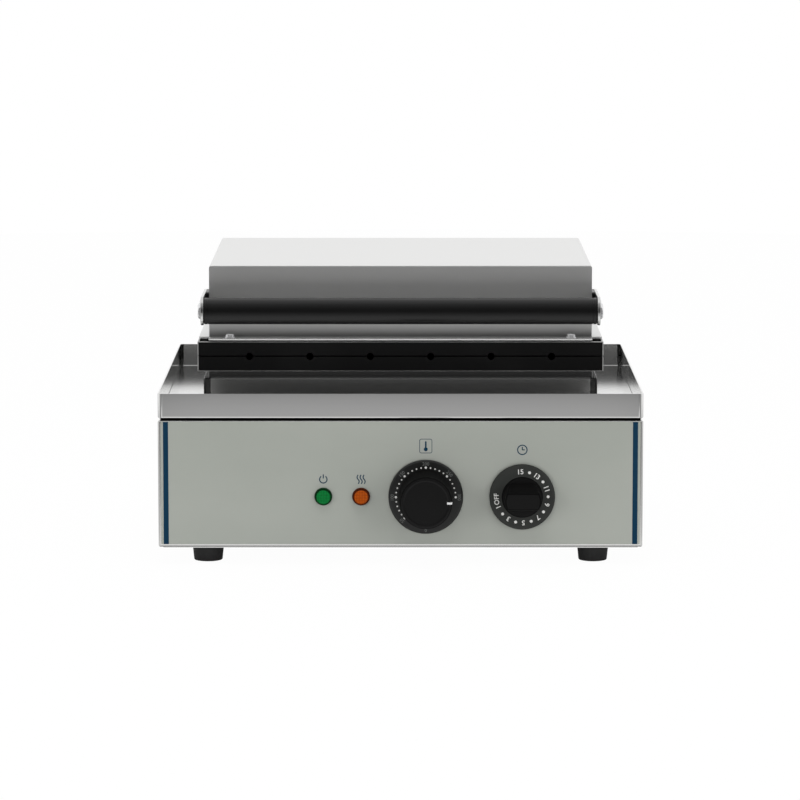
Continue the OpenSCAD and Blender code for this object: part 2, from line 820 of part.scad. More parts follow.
module thermostat_knob() {
    draft = 0.8;
    edge_r = 1.8;
    dish = 0.7;
    front_r = thermostat_knob_d / 2 - draft;
    h = thermostat_knob_h;
    back_y = fascia_y - bezel_t - knob_gap;
    color([0.11, 0.11, 0.11]) translate([thermostat_x, back_y, control_z]) difference() {
        turned_y() {
            polygon([[0, 0], [thermostat_knob_d / 2, 0], [front_r, h - edge_r],
                     [front_r - edge_r, h - edge_r], [front_r - edge_r, h], [0, h]]);
            translate([front_r - edge_r, h - edge_r]) circle(edge_r);
        }
        translate([0, -h + dish, 0]) rotate([90, 0, 0])
            cylinder(r1 = front_r - edge_r - 2 * dish, r2 = front_r - edge_r + dish, h = 2 * dish);
        translate([0, -h + knob_cap, 0]) bar_y(shaft_d + 2 * run_clear, h);
        translate([0, -knob_socket_deep, 0]) bar_y(knob_socket_d, knob_socket_deep + over);
    }
}

module thermostat_shaft() {
    color("silver") translate([thermostat_x, 0, control_z]) {
        tip = fascia_y - bezel_t - knob_gap - thermostat_knob_h + knob_cap + thread_end;
        translate([0, tip, 0]) bar_y(shaft_d, thermostat_front + shaft_blind - 1 - tip);
    }
}

// Dial with a raised bar to turn it by; the sides of the bar spread towards the dial
module timer_knob() {
    dial_t = 3;
    dial_edge = 2;
    step = 0.8;
    edge = 1;
    bar_end = 0.5;
    h = timer_knob_h - knob_gap;
    end_r = timer_bar_l / 2;
    color([0.11, 0.11, 0.11]) translate([timer_x, fascia_y - knob_gap, control_z]) difference() {
        union() {
            turned_y() polygon([[0, 0], [timer_dial_d / 2, 0], [timer_dial_d / 2, dial_t - step],
                                [timer_dial_d / 2 - dial_edge, dial_t], [end_r + dial_edge, dial_t],
                                [end_r + dial_edge - step, dial_t + step], [0, dial_t + step]]);
            intersection() {
                turned_y()
                    polygon([[0, 0], [end_r + bar_end, 0], [end_r, h - edge], [end_r - edge, h], [0, h]]);
                along_x(2 * timer_dial_d)
                    polygon([[0, -timer_bar_t / 2 - timer_bar_spread], [-h + edge, -timer_bar_t / 2],
                             [-h, -timer_bar_t / 2 + edge], [-h, timer_bar_t / 2 - edge],
                             [-h + edge, timer_bar_t / 2], [0, timer_bar_t / 2 + timer_bar_spread]]);
            }
        }
        translate([0, -h + knob_cap, 0]) bar_y(shaft_d + 2 * run_clear, h);
        translate([0, -dial_t + step, 0]) bar_y(knob_socket_d, h);
    }
}

module timer_shaft() {
    color("silver") translate([timer_x, 0, control_z]) {
        tip = fascia_y - timer_knob_h + knob_cap + thread_end;
        translate([0, tip, 0]) bar_y(shaft_d, thermostat_front + shaft_blind - 1 - tip);
    }
}

// Indicator lamps: a flanged body through the panel, a lens in front and a nut behind
lamp_flange_t = 1.6;
lamp_barrel_l = 14;
lamp_nut_step = 6;
lamp_nut_h = 3;
lamp_pin_l = 7;
lamp_pin_w = 3;
lamp_pin_t = 0.8;
lamp_pin_x = 2;
lamp_taper = 0.8;

module lamp_body(x, tint) {
    color(tint) translate([x, fascia_y, control_z]) difference() {
        union() {
            rotate([90, 0, 0]) cylinder(d1 = lamp_d, d2 = lamp_d - lamp_taper, h = lamp_flange_t);
            bar_y(lamp_barrel_d, lamp_barrel_l);
            for (s = [-1, 1])
                translate([s * lamp_pin_x - lamp_pin_t / 2, lamp_barrel_l - over, -lamp_pin_w / 2])
                    cube([lamp_pin_t, lamp_pin_l + over, lamp_pin_w]);
        }
        translate([0, -lamp_flange_t - over, 0]) bar_y(lens_d, lamp_flange_t * 0.6 + over);
    }
}

module lamp_lens(x, tint) {
    lens_h = 2.4;
    dome = 1.2;
    seat = -lamp_flange_t * 0.4;
    color(tint) translate([x, fascia_y + seat, control_z]) turned_y() {
        r = lens_d / 2 - 0.05;
        dome_r = (r * r + dome * dome) / (2 * dome);
        square([r, lens_h - dome]);
        intersection() {
            translate([0, lens_h - dome_r]) circle(dome_r);
            square([r, lens_h]);
        }
    }
}

module lamp_nuts() {
    color("gainsboro") for (x = [power_lamp_x, heat_lamp_x])
        translate([x, front_y + sheet_t, control_z]) rotate([-90, 0, 0]) difference() {
            cylinder(d = lamp_barrel_d + lamp_nut_step, h = lamp_nut_h, $fn = 6);
            translate([0, 0, -over])
                cylinder(d = lamp_barrel_d + 2 * screw_clear, h = lamp_nut_h + 2 * over);
        }
}

// Terminal block on the bottom cover
terminal_x = -70;
terminal_y = 40;
terminal_d = 30;
terminal_h = 22;
terminal_hole_d = 7;
terminal_hole_y = 8;

module terminal_block() {
    poles = 3;
    pole_w = 2 * terminal_hole_d;
    color("ivory") translate([terminal_x, terminal_y, base_z]) difference() {
        translate([-poles * pole_w / 2, -terminal_d / 2, 0]) cube([poles * pole_w, terminal_d, terminal_h]);
        for (i = [0:poles - 1], s = [-1, 1])
            translate([(i - (poles - 1) / 2) * pole_w, s * terminal_hole_y, terminal_h / 2])
                cylinder(d = terminal_hole_d, h = terminal_h);
    }
}

// Cable entries: threaded body through the back wall, cap outside, lock nut inside
gland_wall = 4;
bush_wall = 3.5;
gland_thread_d = cord_bore_d + 2 * gland_wall;
conduit_thread_d = conduit_bore_d + 2 * bush_wall;
gland_hex_t = 5;
gland_hex_step = 7;
gland_inner = 9;
gland_lip = 4;
bush_step = 6;
bush_in = 6;

module gland_body(bore, thread, outer) {
    difference() {
        union() {
            translate([0, -sheet_t - gland_inner, 0]) bar_y(thread, sheet_t + gland_inner + over);
            rotate([-90, 0, 0]) cylinder(d = thread + gland_hex_step, h = gland_hex_t, $fn = 6);
            bar_y(thread, outer);
        }
        translate([0, -sheet_t - gland_inner - over, 0])
            bar_y(bore, outer + sheet_t + gland_inner + 2 * over);
    }
}

module place_gland() {
    translate([gland_x, back_y, base_z + gland_up]) children();
}

module cord_gland() {
    color([0.14, 0.14, 0.14]) place_gland()
        gland_body(cord_bore_d, gland_thread_d, gland_reach - gland_lip);
}

module gland_cap() {
    cap_h = gland_reach - gland_hex_t - clear;
    nose = 5;
    color([0.14, 0.14, 0.14]) place_gland()
        translate([0, gland_hex_t + clear, 0]) rotate([-90, 0, 0]) difference() {
        union() {
            cylinder(d = gland_thread_d + gland_hex_step - 1, h = cap_h - nose, $fn = 6);
            translate([0, 0, cap_h - nose])
                cylinder(d1 = gland_thread_d + gland_lip, d2 = cord_bore_d + nose, h = nose);
        }
        translate([0, 0, -over])
            cylinder(d = gland_thread_d + 2 * screw_clear, h = cap_h - gland_lip + screw_clear + over);
        cylinder(d = cord_bore_d, h = cap_h + over);
    }
}

module gland_locknut() {
    color([0.14, 0.14, 0.14]) place_gland() translate([0, -sheet_t, 0]) rotate([90, 0, 0]) difference() {
        cylinder(d = gland_thread_d + gland_hex_step, h = gland_hex_t, $fn = 6);
        translate([0, 0, -over]) cylinder(d = gland_thread_d + 2 * screw_clear, h = gland_hex_t + 2 * over);
    }
}

// Plain flanged bushes where the wiring of the lid leaves the base and enters the lid
module conduit_bush() {
    flange_t = 3;
    difference() {
        union() {
            translate([0, -bush_in, 0]) bar_y(conduit_thread_d, bush_in + flange_t);
            bar_y(conduit_thread_d + bush_step, flange_t);
        }
        translate([0, -bush_in - over, 0]) bar_y(conduit_bore_d, bush_in + flange_t + 2 * over);
    }
}

module base_conduit_gland() {
    color([0.14, 0.14, 0.14]) translate([conduit_x, back_y, base_z + conduit_up]) conduit_bush();
}

lid_conduit_x = conduit_x / 2;
lid_conduit_z = lid_flange_z + lid_h * 0.55;

module lid_conduit_gland() {
    color([0.14, 0.14, 0.14]) translate([lid_conduit_x, lid_back, lid_conduit_z]) conduit_bush();
}

// Hinge

// Height, from the axis, of the bracket web that stops the arm when the lid is open
arm_foot_t = 3;
arm_foot_w = 22;
arm_foot_h = 22;
arm_foot_gap = 1.4;
arm_screw_x = 7;
arm_foot_low = lid_flange_z + lid_t + arm_foot_gap - hinge_z;
arm_foot_high = arm_foot_low + arm_foot_h;
arm_neck = hinge_back - lid_rear_flange - 1;
web_gap = 1.1;
web_y = hinge_eye_r + web_gap;
web_t = hinge_cheek_t;

// Radius that the straight edges of the arm touch, a little inside the eye
arm_edge_r = hinge_eye_r - 0.2;

// Point where a line from p touches that radius; side is 1 or -1
function eye_tangent(p, side) =
    let (l = norm(p), a = atan2(p[1], p[0]), b = acos(arm_edge_r / l))
    arm_edge_r * [cos(a + side * b), sin(a + side * b)];

arm_top_point = [-arm_neck, arm_foot_high];
arm_low_point = [-arm_neck, arm_foot_low];
arm_top_tangent = eye_tangent(arm_top_point, -1);
arm_low_tangent = eye_tangent(arm_low_point, 1);
// The back edge of the arm turned to the open angle crosses the web this high
stop_turn = atan2(arm_top_tangent[1], arm_top_tangent[0]) - lid_open_deg;
web_top = (arm_edge_r - web_y * cos(stop_turn)) / sin(stop_turn) - clear;

module hinge_arms() {
    color("silver") for (s = [-1, 1]) translate([s * hinge_x, hinge_y, hinge_z]) difference() {
        union() {
            along_x(hinge_arm_t) {
                circle(hinge_eye_r);
                polygon([[0, 0], arm_top_tangent, arm_top_point, [-hinge_back, arm_foot_high],
                         [-hinge_back, arm_foot_low], arm_low_point, arm_low_tangent]);
            }
            translate([-arm_foot_w / 2, -hinge_back, arm_foot_low])
                cube([arm_foot_w, arm_foot_t, arm_foot_h]);
        }
        bar_x(hinge_pin_d + 2 * run_clear, hinge_arm_t + 2 * over);
        for (t = [-1, 1])
            translate([t * arm_screw_x, -hinge_back - over, (arm_foot_low + arm_foot_high) / 2])
                bar_y(m4 + 2 * screw_clear, arm_foot_t + 2 * over);
    }
}

arm_screw_z = hinge_z + (arm_foot_low + arm_foot_high) / 2;

module hinge_arm_screws() {
    color("gainsboro") for (s = [-1, 1], t = [-1, 1])
        translate([s * hinge_x + t * arm_screw_x, lid_back + arm_foot_t, arm_screw_z])
            rotate([-90, 0, 0]) pan_screw(m4, arm_foot_t + lid_t + nut_h);
}

// Folded bracket: two cheeks that hold the pin, a web behind them and feet on the tray
module hinge_brackets() {
    up = hinge_z - tray_floor;
    color("silver") for (s = [-1, 1]) translate([s * hinge_x, hinge_y, tray_floor]) difference() {
        union() {
            for (t = [-1, 1]) {
                translate([t * (bracket_in + hinge_cheek_t / 2), 0, 0]) along_x(hinge_cheek_t) {
                    translate([0, up]) circle(hinge_eye_r);
                    translate([-hinge_eye_r, 0]) square([2 * hinge_eye_r, up]);
                }
                translate([t * (bracket_out + bracket_foot / 2) - bracket_foot / 2, -hinge_eye_r, 0])
                    cube([bracket_foot, 2 * hinge_eye_r, hinge_cheek_t]);
                translate([t > 0 ? bracket_in : -bracket_out, 0, 0])
                    cube([hinge_cheek_t, web_y + web_t, up + web_top]);
            }
            translate([-bracket_out, web_y, 0]) cube([2 * bracket_out, web_t, up + web_top]);
        }
        translate([0, 0, up]) bar_x(hinge_pin_d + 2 * run_clear, 2 * bracket_out + 2 * over);
        for (t = [-1, 1])
            translate([t * (bracket_out + bracket_foot / 2), bracket_screw_y - hinge_y, -over])
                cylinder(d = m4 + 2 * screw_clear, h = hinge_cheek_t + 2 * over);
    }
}

module bracket_screws() {
    color("gainsboro") for (s = [-1, 1], t = [-1, 1])
        translate([s * hinge_x + t * (bracket_out + bracket_foot / 2), bracket_screw_y,
                   tray_floor + hinge_cheek_t])
            pan_screw(m4, hinge_cheek_t + sheet_t + nut_h);
}

hinge_head_t = 4;
hinge_head_step = 5;
hinge_nut_t = 6;

module hinge_pins() {
    color("gainsboro") for (s = [-1, 1])
        translate([s * hinge_x, hinge_y, hinge_z]) mirror([s > 0 ? 0 : 1, 0, 0]) {
        translate([(hinge_nut_t + 1) / 2, 0, 0]) bar_x(hinge_pin_d, 2 * bracket_out + hinge_nut_t + 1);
        translate([-bracket_out - hinge_head_t / 2, 0, 0]) bar_x(hinge_pin_d + hinge_head_step, hinge_head_t);
    }
}

module hinge_nuts() {
    color("gainsboro") for (s = [-1, 1])
        translate([s * hinge_x, hinge_y, hinge_z]) mirror([s > 0 ? 0 : 1, 0, 0])
        translate([bracket_out, 0, 0]) rotate([0, 90, 0]) hex_nut(hinge_pin_d, hinge_nut_t);
}

// Lid

// Solid of the lid cover, standing on z = 0
module lid_form(w, d, h, side_r, edge_r) {
    intersection() {
        along_y(d) translate([0, h / 2 - side_r]) rounded_rect(w, h + 2 * side_r, side_r);
        along_x(w) translate([0, h / 2 - edge_r]) rounded_rect(d, h + 2 * edge_r, edge_r);
        linear_extrude(h + over) square([w + over, d + over], center = true);
    }
}

lid_side_flange = lid_side_step - 0.7;

module lid_shell() {
    flange_y = [lid_front - lid_front_flange / 2, lid_back + lid_rear_flange / 2];
    flange_d = [lid_front_flange, lid_rear_flange];
    color("silver") difference() {
        union() {
            translate([0, lid_mid, lid_flange_z]) lid_form(lid_w, lid_d, lid_h, lid_r, lid_edge_r);
            for (i = [0, 1])
                translate([-lid_w / 2, flange_y[i] - flange_d[i] / 2 - (i == 1 ? lid_t : 0), lid_flange_z])
                    cube([lid_w, flange_d[i] + lid_t, lid_t]);
            translate([-lid_w / 2 - lid_side_flange, lid_front + lid_t, lid_flange_z])
                cube([lid_w + 2 * lid_side_flange, lid_d - 2 * lid_t, lid_t]);
        }
        translate([0, lid_mid, lid_flange_z - over])
            lid_form(lid_w - 2 * lid_t, lid_d - 2 * lid_t, lid_h - lid_t + over,
                     inner_r(lid_r, lid_t), inner_r(lid_edge_r, lid_t));
        for (x = [-1, 1], i = [0, 1])
            translate([x * lid_screw_x, flange_y[i], lid_flange_z - over])
                cylinder(d = lid_screw_d + 2 * screw_clear, h = lid_t + 2 * over);
        arm_holes(lid_t + 2 * over);
        for (s = [-1, 1], t = [-1, 1])
            translate([s * hinge_x + t * arm_screw_x, lid_back - lid_t - over, arm_screw_z])
                bar_y(m4 + 2 * screw_clear, lid_t + 2 * over);
        translate([lid_conduit_x, lid_back - lid_t - over, lid_conduit_z])
            bar_y(conduit_thread_d + 2 * screw_clear, lid_t + 2 * over);
    }
}

module lid_seal() {
    seal_back = 1;
    color([0.1, 0.1, 0.1]) difference() {
        translate([0, plate_mid, lid_seal_z]) linear_extrude(lid_seal_t)
            square([lid_w + 2 * lid_side_flange - 2 * seal_back, plate_d - 2 * seal_back], center = true);
        translate([0, lid_mid, lid_seal_z - over]) linear_extrude(lid_seal_t + 2 * over)
            square([lid_w - 2 * lid_t - 1, lid_d - 2 * lid_t - 1], center = true);
        lid_screw_holes(lid_seal_z - over, lid_seal_t + 2 * over);
    }
}

module lid_screw_holes(z, h) {
    for (x = [-1, 1], y = [lid_front - lid_front_flange / 2, lid_back + lid_rear_flange / 2])
        translate([x * lid_screw_x, y, z]) cylinder(d = lid_screw_d + 2 * screw_clear, h = h);
}

module upper_plate() {
    color([0.09, 0.09, 0.09]) difference() {
        translate([0, 0, upper_face]) mirror([0, 0, 1]) plate_rim();
        lid_screw_holes(lid_seal_z - lid_screw_in - 1, lid_screw_in + 1 + over);
    }
}

module upper_plate_block() {
    color([0.09, 0.09, 0.09]) difference() {
        translate([0, 0, upper_face]) mirror([0, 0, 1]) plate_block(upper_block_w, upper_block_d, lid_mid);
        clamp_holes(upper_block_z - thread_depth, thread_depth + over);
    }
}

washer_t = 0.8;
washer_d = 7.6;
lid_screw_in = 6;

module lid_washers() {
    color("gainsboro") difference() {
        for (x = [-1, 1], y = [lid_front - lid_front_flange / 2, lid_back + lid_rear_flange / 2])
            translate([x * lid_screw_x, y, lid_flange_z + lid_t]) cylinder(d = washer_d, h = washer_t);
        lid_screw_holes(lid_flange_z, lid_t + washer_t + over);
    }
}

module lid_screws() {
    screw_y = [lid_front - lid_front_flange / 2, lid_back + lid_rear_flange / 2];
    color("gainsboro") for (x = [-1, 1], y = screw_y)
        translate([x * lid_screw_x, y, lid_flange_z + lid_t + washer_t])
            pan_screw(lid_screw_d, washer_t + lid_t + lid_seal_t + lid_screw_in);
}

module upper_heater() {
    color("slategray") translate([0, plate_mid, upper_block_z + heater_gap + heater_d / 2]) heater(heater_d);
}

module upper_heater_clamp() {
    color("silver") translate([0, 0, upper_block_z + 2 * heater_gap + heater_d]) heater_clamp();
}

module upper_clamp_screws() {
    l = clamp_t + 2 * heater_gap + heater_d + thread_depth - thread_end;
    color("gainsboro") translate([0, plate_mid, upper_block_z + 2 * heater_gap + heater_d + clamp_t])
        four(clamp_screw_x, clamp_screw_y) pan_screw(m4, l);
}

// Reflector between the heater and the lid top, standing on the block
module lid_heat_shield() {
    shield_t = 0.8;
    shield_gap = 8;
    shield_side = 4;
    shield_end = 12;
    shield_h = heater_d + clamp_t + shield_gap;
    shield_w = upper_block_w - 2 * shield_side;
    shield_d = upper_block_d - 2 * shield_end;
    color("silver") translate([0, lid_mid, upper_block_z]) difference() {
        linear_extrude(shield_h) square([shield_w, shield_d], center = true);
        translate([0, 0, -over]) linear_extrude(shield_h - shield_t + over)
            square([shield_w - 2 * shield_t, shield_d + 2 * over], center = true);
    }
}

// Handle

arm_screw_step = 13;
arm_screw_y = [grip_y + arm_back, grip_y + arm_back - arm_screw_step];
spacer_l = arm_screw_step + 3 * m4;
spacer_h = arm_h - 1;
spacer_r = 2;

module arm_holes(depth) {
    for (s = [-1, 1], y = arm_screw_y)
        translate([s * lid_w / 2, y, grip_z]) bar_x(m4 + 2 * screw_clear, 2 * depth);
}

module handle_arms() {
    color("silver") for (s = [-1, 1]) translate([s * (arm_x + arm_t / 2), 0, grip_z]) difference() {
        along_x(arm_t) {
            for (y = [grip_y, grip_y + arm_back]) translate([y, 0]) circle(arm_h / 2);
            translate([grip_y, -arm_h / 2]) square([arm_back, arm_h]);
        }
        translate([0, grip_y, 0]) bar_x(rod_d + 2 * screw_clear, arm_t + 2 * over);
        for (y = arm_screw_y) translate([0, y, 0]) bar_x(m4 + 2 * screw_clear, arm_t + 2 * over);
    }
}

// Insulating plate between each arm and the lid
module arm_spacers() {
    spacer_y = (arm_screw_y[0] + arm_screw_y[1]) / 2;
    color([0.1, 0.1, 0.1]) for (s = [-1, 1])
        translate([s * (lid_w / 2 + arm_spacer / 2), 0, grip_z]) difference() {
            along_x(arm_spacer) translate([spacer_y, 0]) rounded_rect(spacer_l, spacer_h, spacer_r);
            for (y = arm_screw_y) translate([0, y, 0]) bar_x(m4 + 2 * screw_clear, arm_spacer + 2 * over);
        }
}

module arm_screws() {
    color("gainsboro") for (s = [-1, 1], y = arm_screw_y)
        translate([s * (arm_x + arm_t), y, grip_z]) rotate([0, s * 90, 0])
            pan_screw(m4, arm_t + arm_spacer + lid_t + screw_tail);
}

rod_d = 6;
rod_out = 1.4;

// Moulded grip: a long tube with a fine groove and a rounded shoulder at each end
module handle_grip() {
    shoulder = 1.2;
    groove = 0.5;
    groove_at = 3;
    color([0.1, 0.1, 0.1]) translate([0, grip_y, grip_z]) rotate([0, 90, 0]) rotate_extrude() difference() {
        union() {
            translate([0, -grip_l / 2 + shoulder]) square([grip_d / 2, grip_l - 2 * shoulder]);
            translate([0, -grip_l / 2]) square([grip_d / 2 - shoulder, grip_l]);
            intersection() {
                for (s = [-1, 1])
                    translate([grip_d / 2 - shoulder, s * (grip_l / 2 - shoulder)]) circle(shoulder);
                translate([0, -grip_l / 2]) square([grip_d, grip_l]);
            }
        }
        translate([0, -grip_l / 2 - over]) square([rod_d / 2 + screw_clear, grip_l + 2 * over]);
        for (s = [-1, 1]) translate([grip_d / 2 - groove, s * (grip_l / 2 - groove_at) - groove / 2])
            square([groove + over, groove]);
    }
}

module handle_rod() {
    color("silver") translate([0, grip_y, grip_z]) bar_x(rod_d, grip_l + 2 * arm_t + 2 * rod_out);
}

module handle_nuts() {
    cap_h = 2;
    cap_d = 11.4;
    cap_flare = 2;
    cap_bevel = 2.4;
    color("gainsboro") for (s = [-1, 1])
        translate([s * (arm_x + arm_t), grip_y, grip_z]) rotate([0, s * 90, 0]) difference() {
            intersection() {
                cylinder(d = cap_d, h = cap_h, $fn = 6);
                cylinder(d1 = cap_d + cap_flare, d2 = cap_d - cap_bevel, h = cap_h);
            }
            translate([0, 0, -over]) cylinder(d = rod_d + 2 * screw_clear, h = rod_out + screw_clear + over);
        }
}

// Every part is drawn about the middle of the base and then set over the origin
module placed() {
    translate([0, base_shift, 0]) children();
}

placed() base_chassis();
placed() front_fascia();
placed() bottom_cover();
placed() cover_screws();
placed() rubber_feet();
placed() foot_screws();
placed() base_nuts();
placed() tray_seal();
placed() splash_tray();
placed() lower_shell();
placed() shell_screws();
placed() lower_plate();
placed() lower_plate_block();
placed() plate_posts();
placed() post_bolts();
placed() lower_heater();
placed() lower_heater_clamp();
placed() lower_clamp_screws();
placed() sensor_bulb();
placed() thermostat_body();
placed() thermostat_bezel();
placed() bezel_screws();
placed() timer_body();
placed() lamp_body(power_lamp_x, "darkgreen");  // power_lamp_body
placed() lamp_lens(power_lamp_x, "green");  // power_lens
placed() lamp_body(heat_lamp_x, "chocolate");  // heat_lamp_body
placed() lamp_lens(heat_lamp_x, "darkorange");  // heat_lens
placed() lamp_nuts();
placed() terminal_block();
placed() cord_gland();
placed() gland_cap();
placed() gland_locknut();
placed() base_conduit_gland();
placed() hinge_brackets();
placed() bracket_screws();
placed() hinge_pins();
placed() hinge_nuts();
placed() lid_shell();
placed() lid_seal();
placed() upper_plate();
placed() upper_plate_block();
placed() lid_screws();
placed() lid_washers();
placed() upper_heater();
placed() upper_heater_clamp();
placed() upper_clamp_screws();
placed() lid_heat_shield();
placed() handle_arms();
placed() arm_spacers();
placed() arm_screws();
placed() handle_grip();
placed() handle_rod();
placed() handle_nuts();
placed() hinge_arms();
placed() hinge_arm_screws();
placed() lid_conduit_gland();
placed() thermostat_knob();
placed() thermostat_shaft();
placed() timer_knob();
placed() timer_shaft();
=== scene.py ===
import json
import math
import bpy
from mathutils import Matrix, Vector


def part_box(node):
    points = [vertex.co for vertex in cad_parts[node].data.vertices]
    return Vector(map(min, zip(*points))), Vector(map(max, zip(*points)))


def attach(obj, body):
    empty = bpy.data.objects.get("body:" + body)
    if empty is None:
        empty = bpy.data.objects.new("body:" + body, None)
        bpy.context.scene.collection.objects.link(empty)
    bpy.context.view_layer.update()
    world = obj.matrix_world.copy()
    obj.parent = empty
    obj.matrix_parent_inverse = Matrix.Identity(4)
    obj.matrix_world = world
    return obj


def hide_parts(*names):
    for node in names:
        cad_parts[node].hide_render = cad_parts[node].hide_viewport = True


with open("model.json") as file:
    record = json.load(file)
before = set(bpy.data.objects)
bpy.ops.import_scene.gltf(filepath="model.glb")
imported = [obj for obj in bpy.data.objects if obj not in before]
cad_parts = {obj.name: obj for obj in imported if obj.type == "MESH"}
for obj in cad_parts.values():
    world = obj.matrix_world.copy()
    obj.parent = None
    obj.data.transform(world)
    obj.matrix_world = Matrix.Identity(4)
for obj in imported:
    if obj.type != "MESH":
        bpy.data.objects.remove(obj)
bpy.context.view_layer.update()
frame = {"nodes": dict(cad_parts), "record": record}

nodes = frame["nodes"]
mm = 0.001
print("frame loaded:", len(nodes), "nodes")


# shader maths: one wire is one output socket, and sums on it add Math nodes
class Wire:
    def __init__(self, tree, socket):
        self.tree = tree
        self.socket = socket

    def node(self, kind, settings=None, inputs=None, out=0):
        made = self.tree.nodes.new(kind)
        for key, value in (settings or {}).items():
            if key == "stops":
                ramp = made.color_ramp
                while len(ramp.elements) < len(value):
                    ramp.elements.new(0.5)
                for element, (spot, colour) in zip(ramp.elements, value):
                    element.position = spot
                    element.color = colour
            else:
                setattr(made, key, value)
        for key, value in (inputs or {}).items():
            plug(self.tree, made.inputs[key], value)
        return Wire(self.tree, made.outputs[out])

    def math(self, operation, *terms):
        return self.node("ShaderNodeMath", {"operation": operation}, dict(enumerate(terms)))

    def __add__(self, other):
        return self.math("ADD", self, other)

    def __sub__(self, other):
        return self.math("SUBTRACT", self, other)

    def __rsub__(self, other):
        return self.math("SUBTRACT", other, self)

    def __mul__(self, other):
        return self.math("MULTIPLY", self, other)

    def __truediv__(self, other):
        return self.math("DIVIDE", self, other)

    def __lt__(self, other):
        return self.math("LESS_THAN", self, other)

    def __gt__(self, other):
        return self.math("GREATER_THAN", self, other)

    __radd__ = __add__
    __rmul__ = __mul__

    def size(self):
        return self.math("ABSOLUTE", self)

    def larger(self, other):
        return self.math("MAXIMUM", self, other)

    def axes(self):
        split = self.node("ShaderNodeSeparateXYZ", inputs={0: self}).socket.node
        return [Wire(self.tree, socket) for socket in split.outputs]

    def ramp(self, low, high):
        return self.node("ShaderNodeMapRange", {"interpolation_type": "SMOOTHSTEP"},
                         {"Value": self, "From Min": low, "From Max": high})

    def blend(self, first, second):
        return self.node("ShaderNodeMix", {"data_type": "RGBA"}, {0: self, 6: first, 7: second}, out=2)


def plug(tree, socket, value):
    if isinstance(value, Wire):
        tree.links.new(value.socket, socket)
    else:
        socket.default_value = value


def tone(grey, tint=(1, 1, 1)):
    return tuple(grey * t for t in tint) + (1,)


class Finish:
    # a material with its shader and the object's own coordinates at hand
    def __init__(self, name):
        self.material = bpy.data.materials.new(name)
        self.material.use_nodes = True
        self.tree = self.material.node_tree
        self.shader = self.tree.nodes["Principled BSDF"]
        here = self.tree.nodes.new("ShaderNodeTexCoord")
        self.place = Wire(self.tree, here.outputs["Object"])
        self.facing = Wire(self.tree, here.outputs["Normal"])

    def noise(self, scale, stretch=(1, 1, 1), detail=3.0):
        spread = self.place.node("ShaderNodeMapping", inputs={"Vector": self.place, "Scale": stretch})
        return spread.node("ShaderNodeTexNoise", inputs={"Vector": spread, "Scale": scale, "Detail": detail})

    def bump(self, height, strength, distance):
        return height.node("ShaderNodeBump",
                           inputs={"Height": height, "Strength": strength, "Distance": distance})

    def feed(self, **values):
        for key, value in values.items():
            plug(self.tree, self.shader.inputs[key.replace("_", " ")], value)
        return self.material


# steel sheets and plated parts: fine brush lines, a faintly clouded polish and a few smears;
# the housing has painted shade on its collar under the plate and on its sides, the tray has painted shade
# in its inside corners, and the lid has a matt cut edge on its flange and painted shade above it
steelLooks = {
    "base_steel": {"grey": 0.71, "tint": (1, 1, 0.985), "rough": 0.20, "lines": 0.05, "cloud": 0.02,
                   "relief": 0.03},
    "tray_steel": {"grey": 0.76, "tint": (1, 1, 0.99), "rough": 0.10, "lines": 0.02, "cloud": 0.015,
                   "relief": 0.02, "cornerShade": 0.10, "floorRough": 0.03},
    "shell_steel": {"grey": 0.53, "tint": (1, 1, 0.99), "rough": 0.24, "lines": 0.03, "cloud": 0.015,
                    "relief": 0.02, "metal": 0.94, "collarShadeAbove": 127.3 * mm, "collarShadeBeside": 134.5 * mm,
                    "collarShade": 0.10},
    "lid_steel": {"grey": 0.77, "tint": (1, 1, 0.99), "rough": 0.36, "lines": 0.05, "cloud": 0.015,
                  "relief": 0.03, "metal": 0.85, "cutBelow": 155.5 * mm, "cutMetal": 0.25,
                  "flangeShadeTo": 165 * mm, "flangeShade": 0.65},
    "arm_steel": {"grey": 0.62, "tint": (1, 1, 0.99), "rough": 0.18, "lines": 0.05, "cloud": 0.02,
                  "relief": 0.03},
    "inner_steel": {"grey": 0.52, "tint": (1, 0.99, 0.96), "rough": 0.30, "lines": 0.06, "cloud": 0.06,
                    "relief": 0.05},
    "heater_steel": {"grey": 0.16, "tint": (1, 0.95, 0.92), "rough": 0.48, "lines": 0.05, "cloud": 0.16,
                     "relief": 0.20},
    "copper": {"grey": 0.62, "tint": (1, 0.56, 0.38), "rough": 0.30, "lines": 0.05, "cloud": 0.14,
               "relief": 0.10},
    "zinc": {"grey": 0.78, "tint": (1, 1, 1.01), "rough": 0.28, "lines": 0.03, "cloud": 0.08,
             "relief": 0.05, "metal": 0.75},
}
brush = {"along": 12, "across": 2200, "cloudScale": 14, "cloudDetail": 4, "cloudRelief": 0.3,
         "smearScale": 45, "smearFlat": (1, 1, 0.5), "smearFrom": 0.55, "smearTo": 0.8, "smear": 0.015,
         "contrast": 0.5, "darker": 0.8, "lighter": 1.2, "depth": 0.02 * mm}
# limits of the normal that tell the faces apart; in an inside corner it points back to the middle
steelFaces = {"side": 0.7, "floor": 0.7, "front": -0.5, "wall": 0.5, "cornerShade": -0.01}


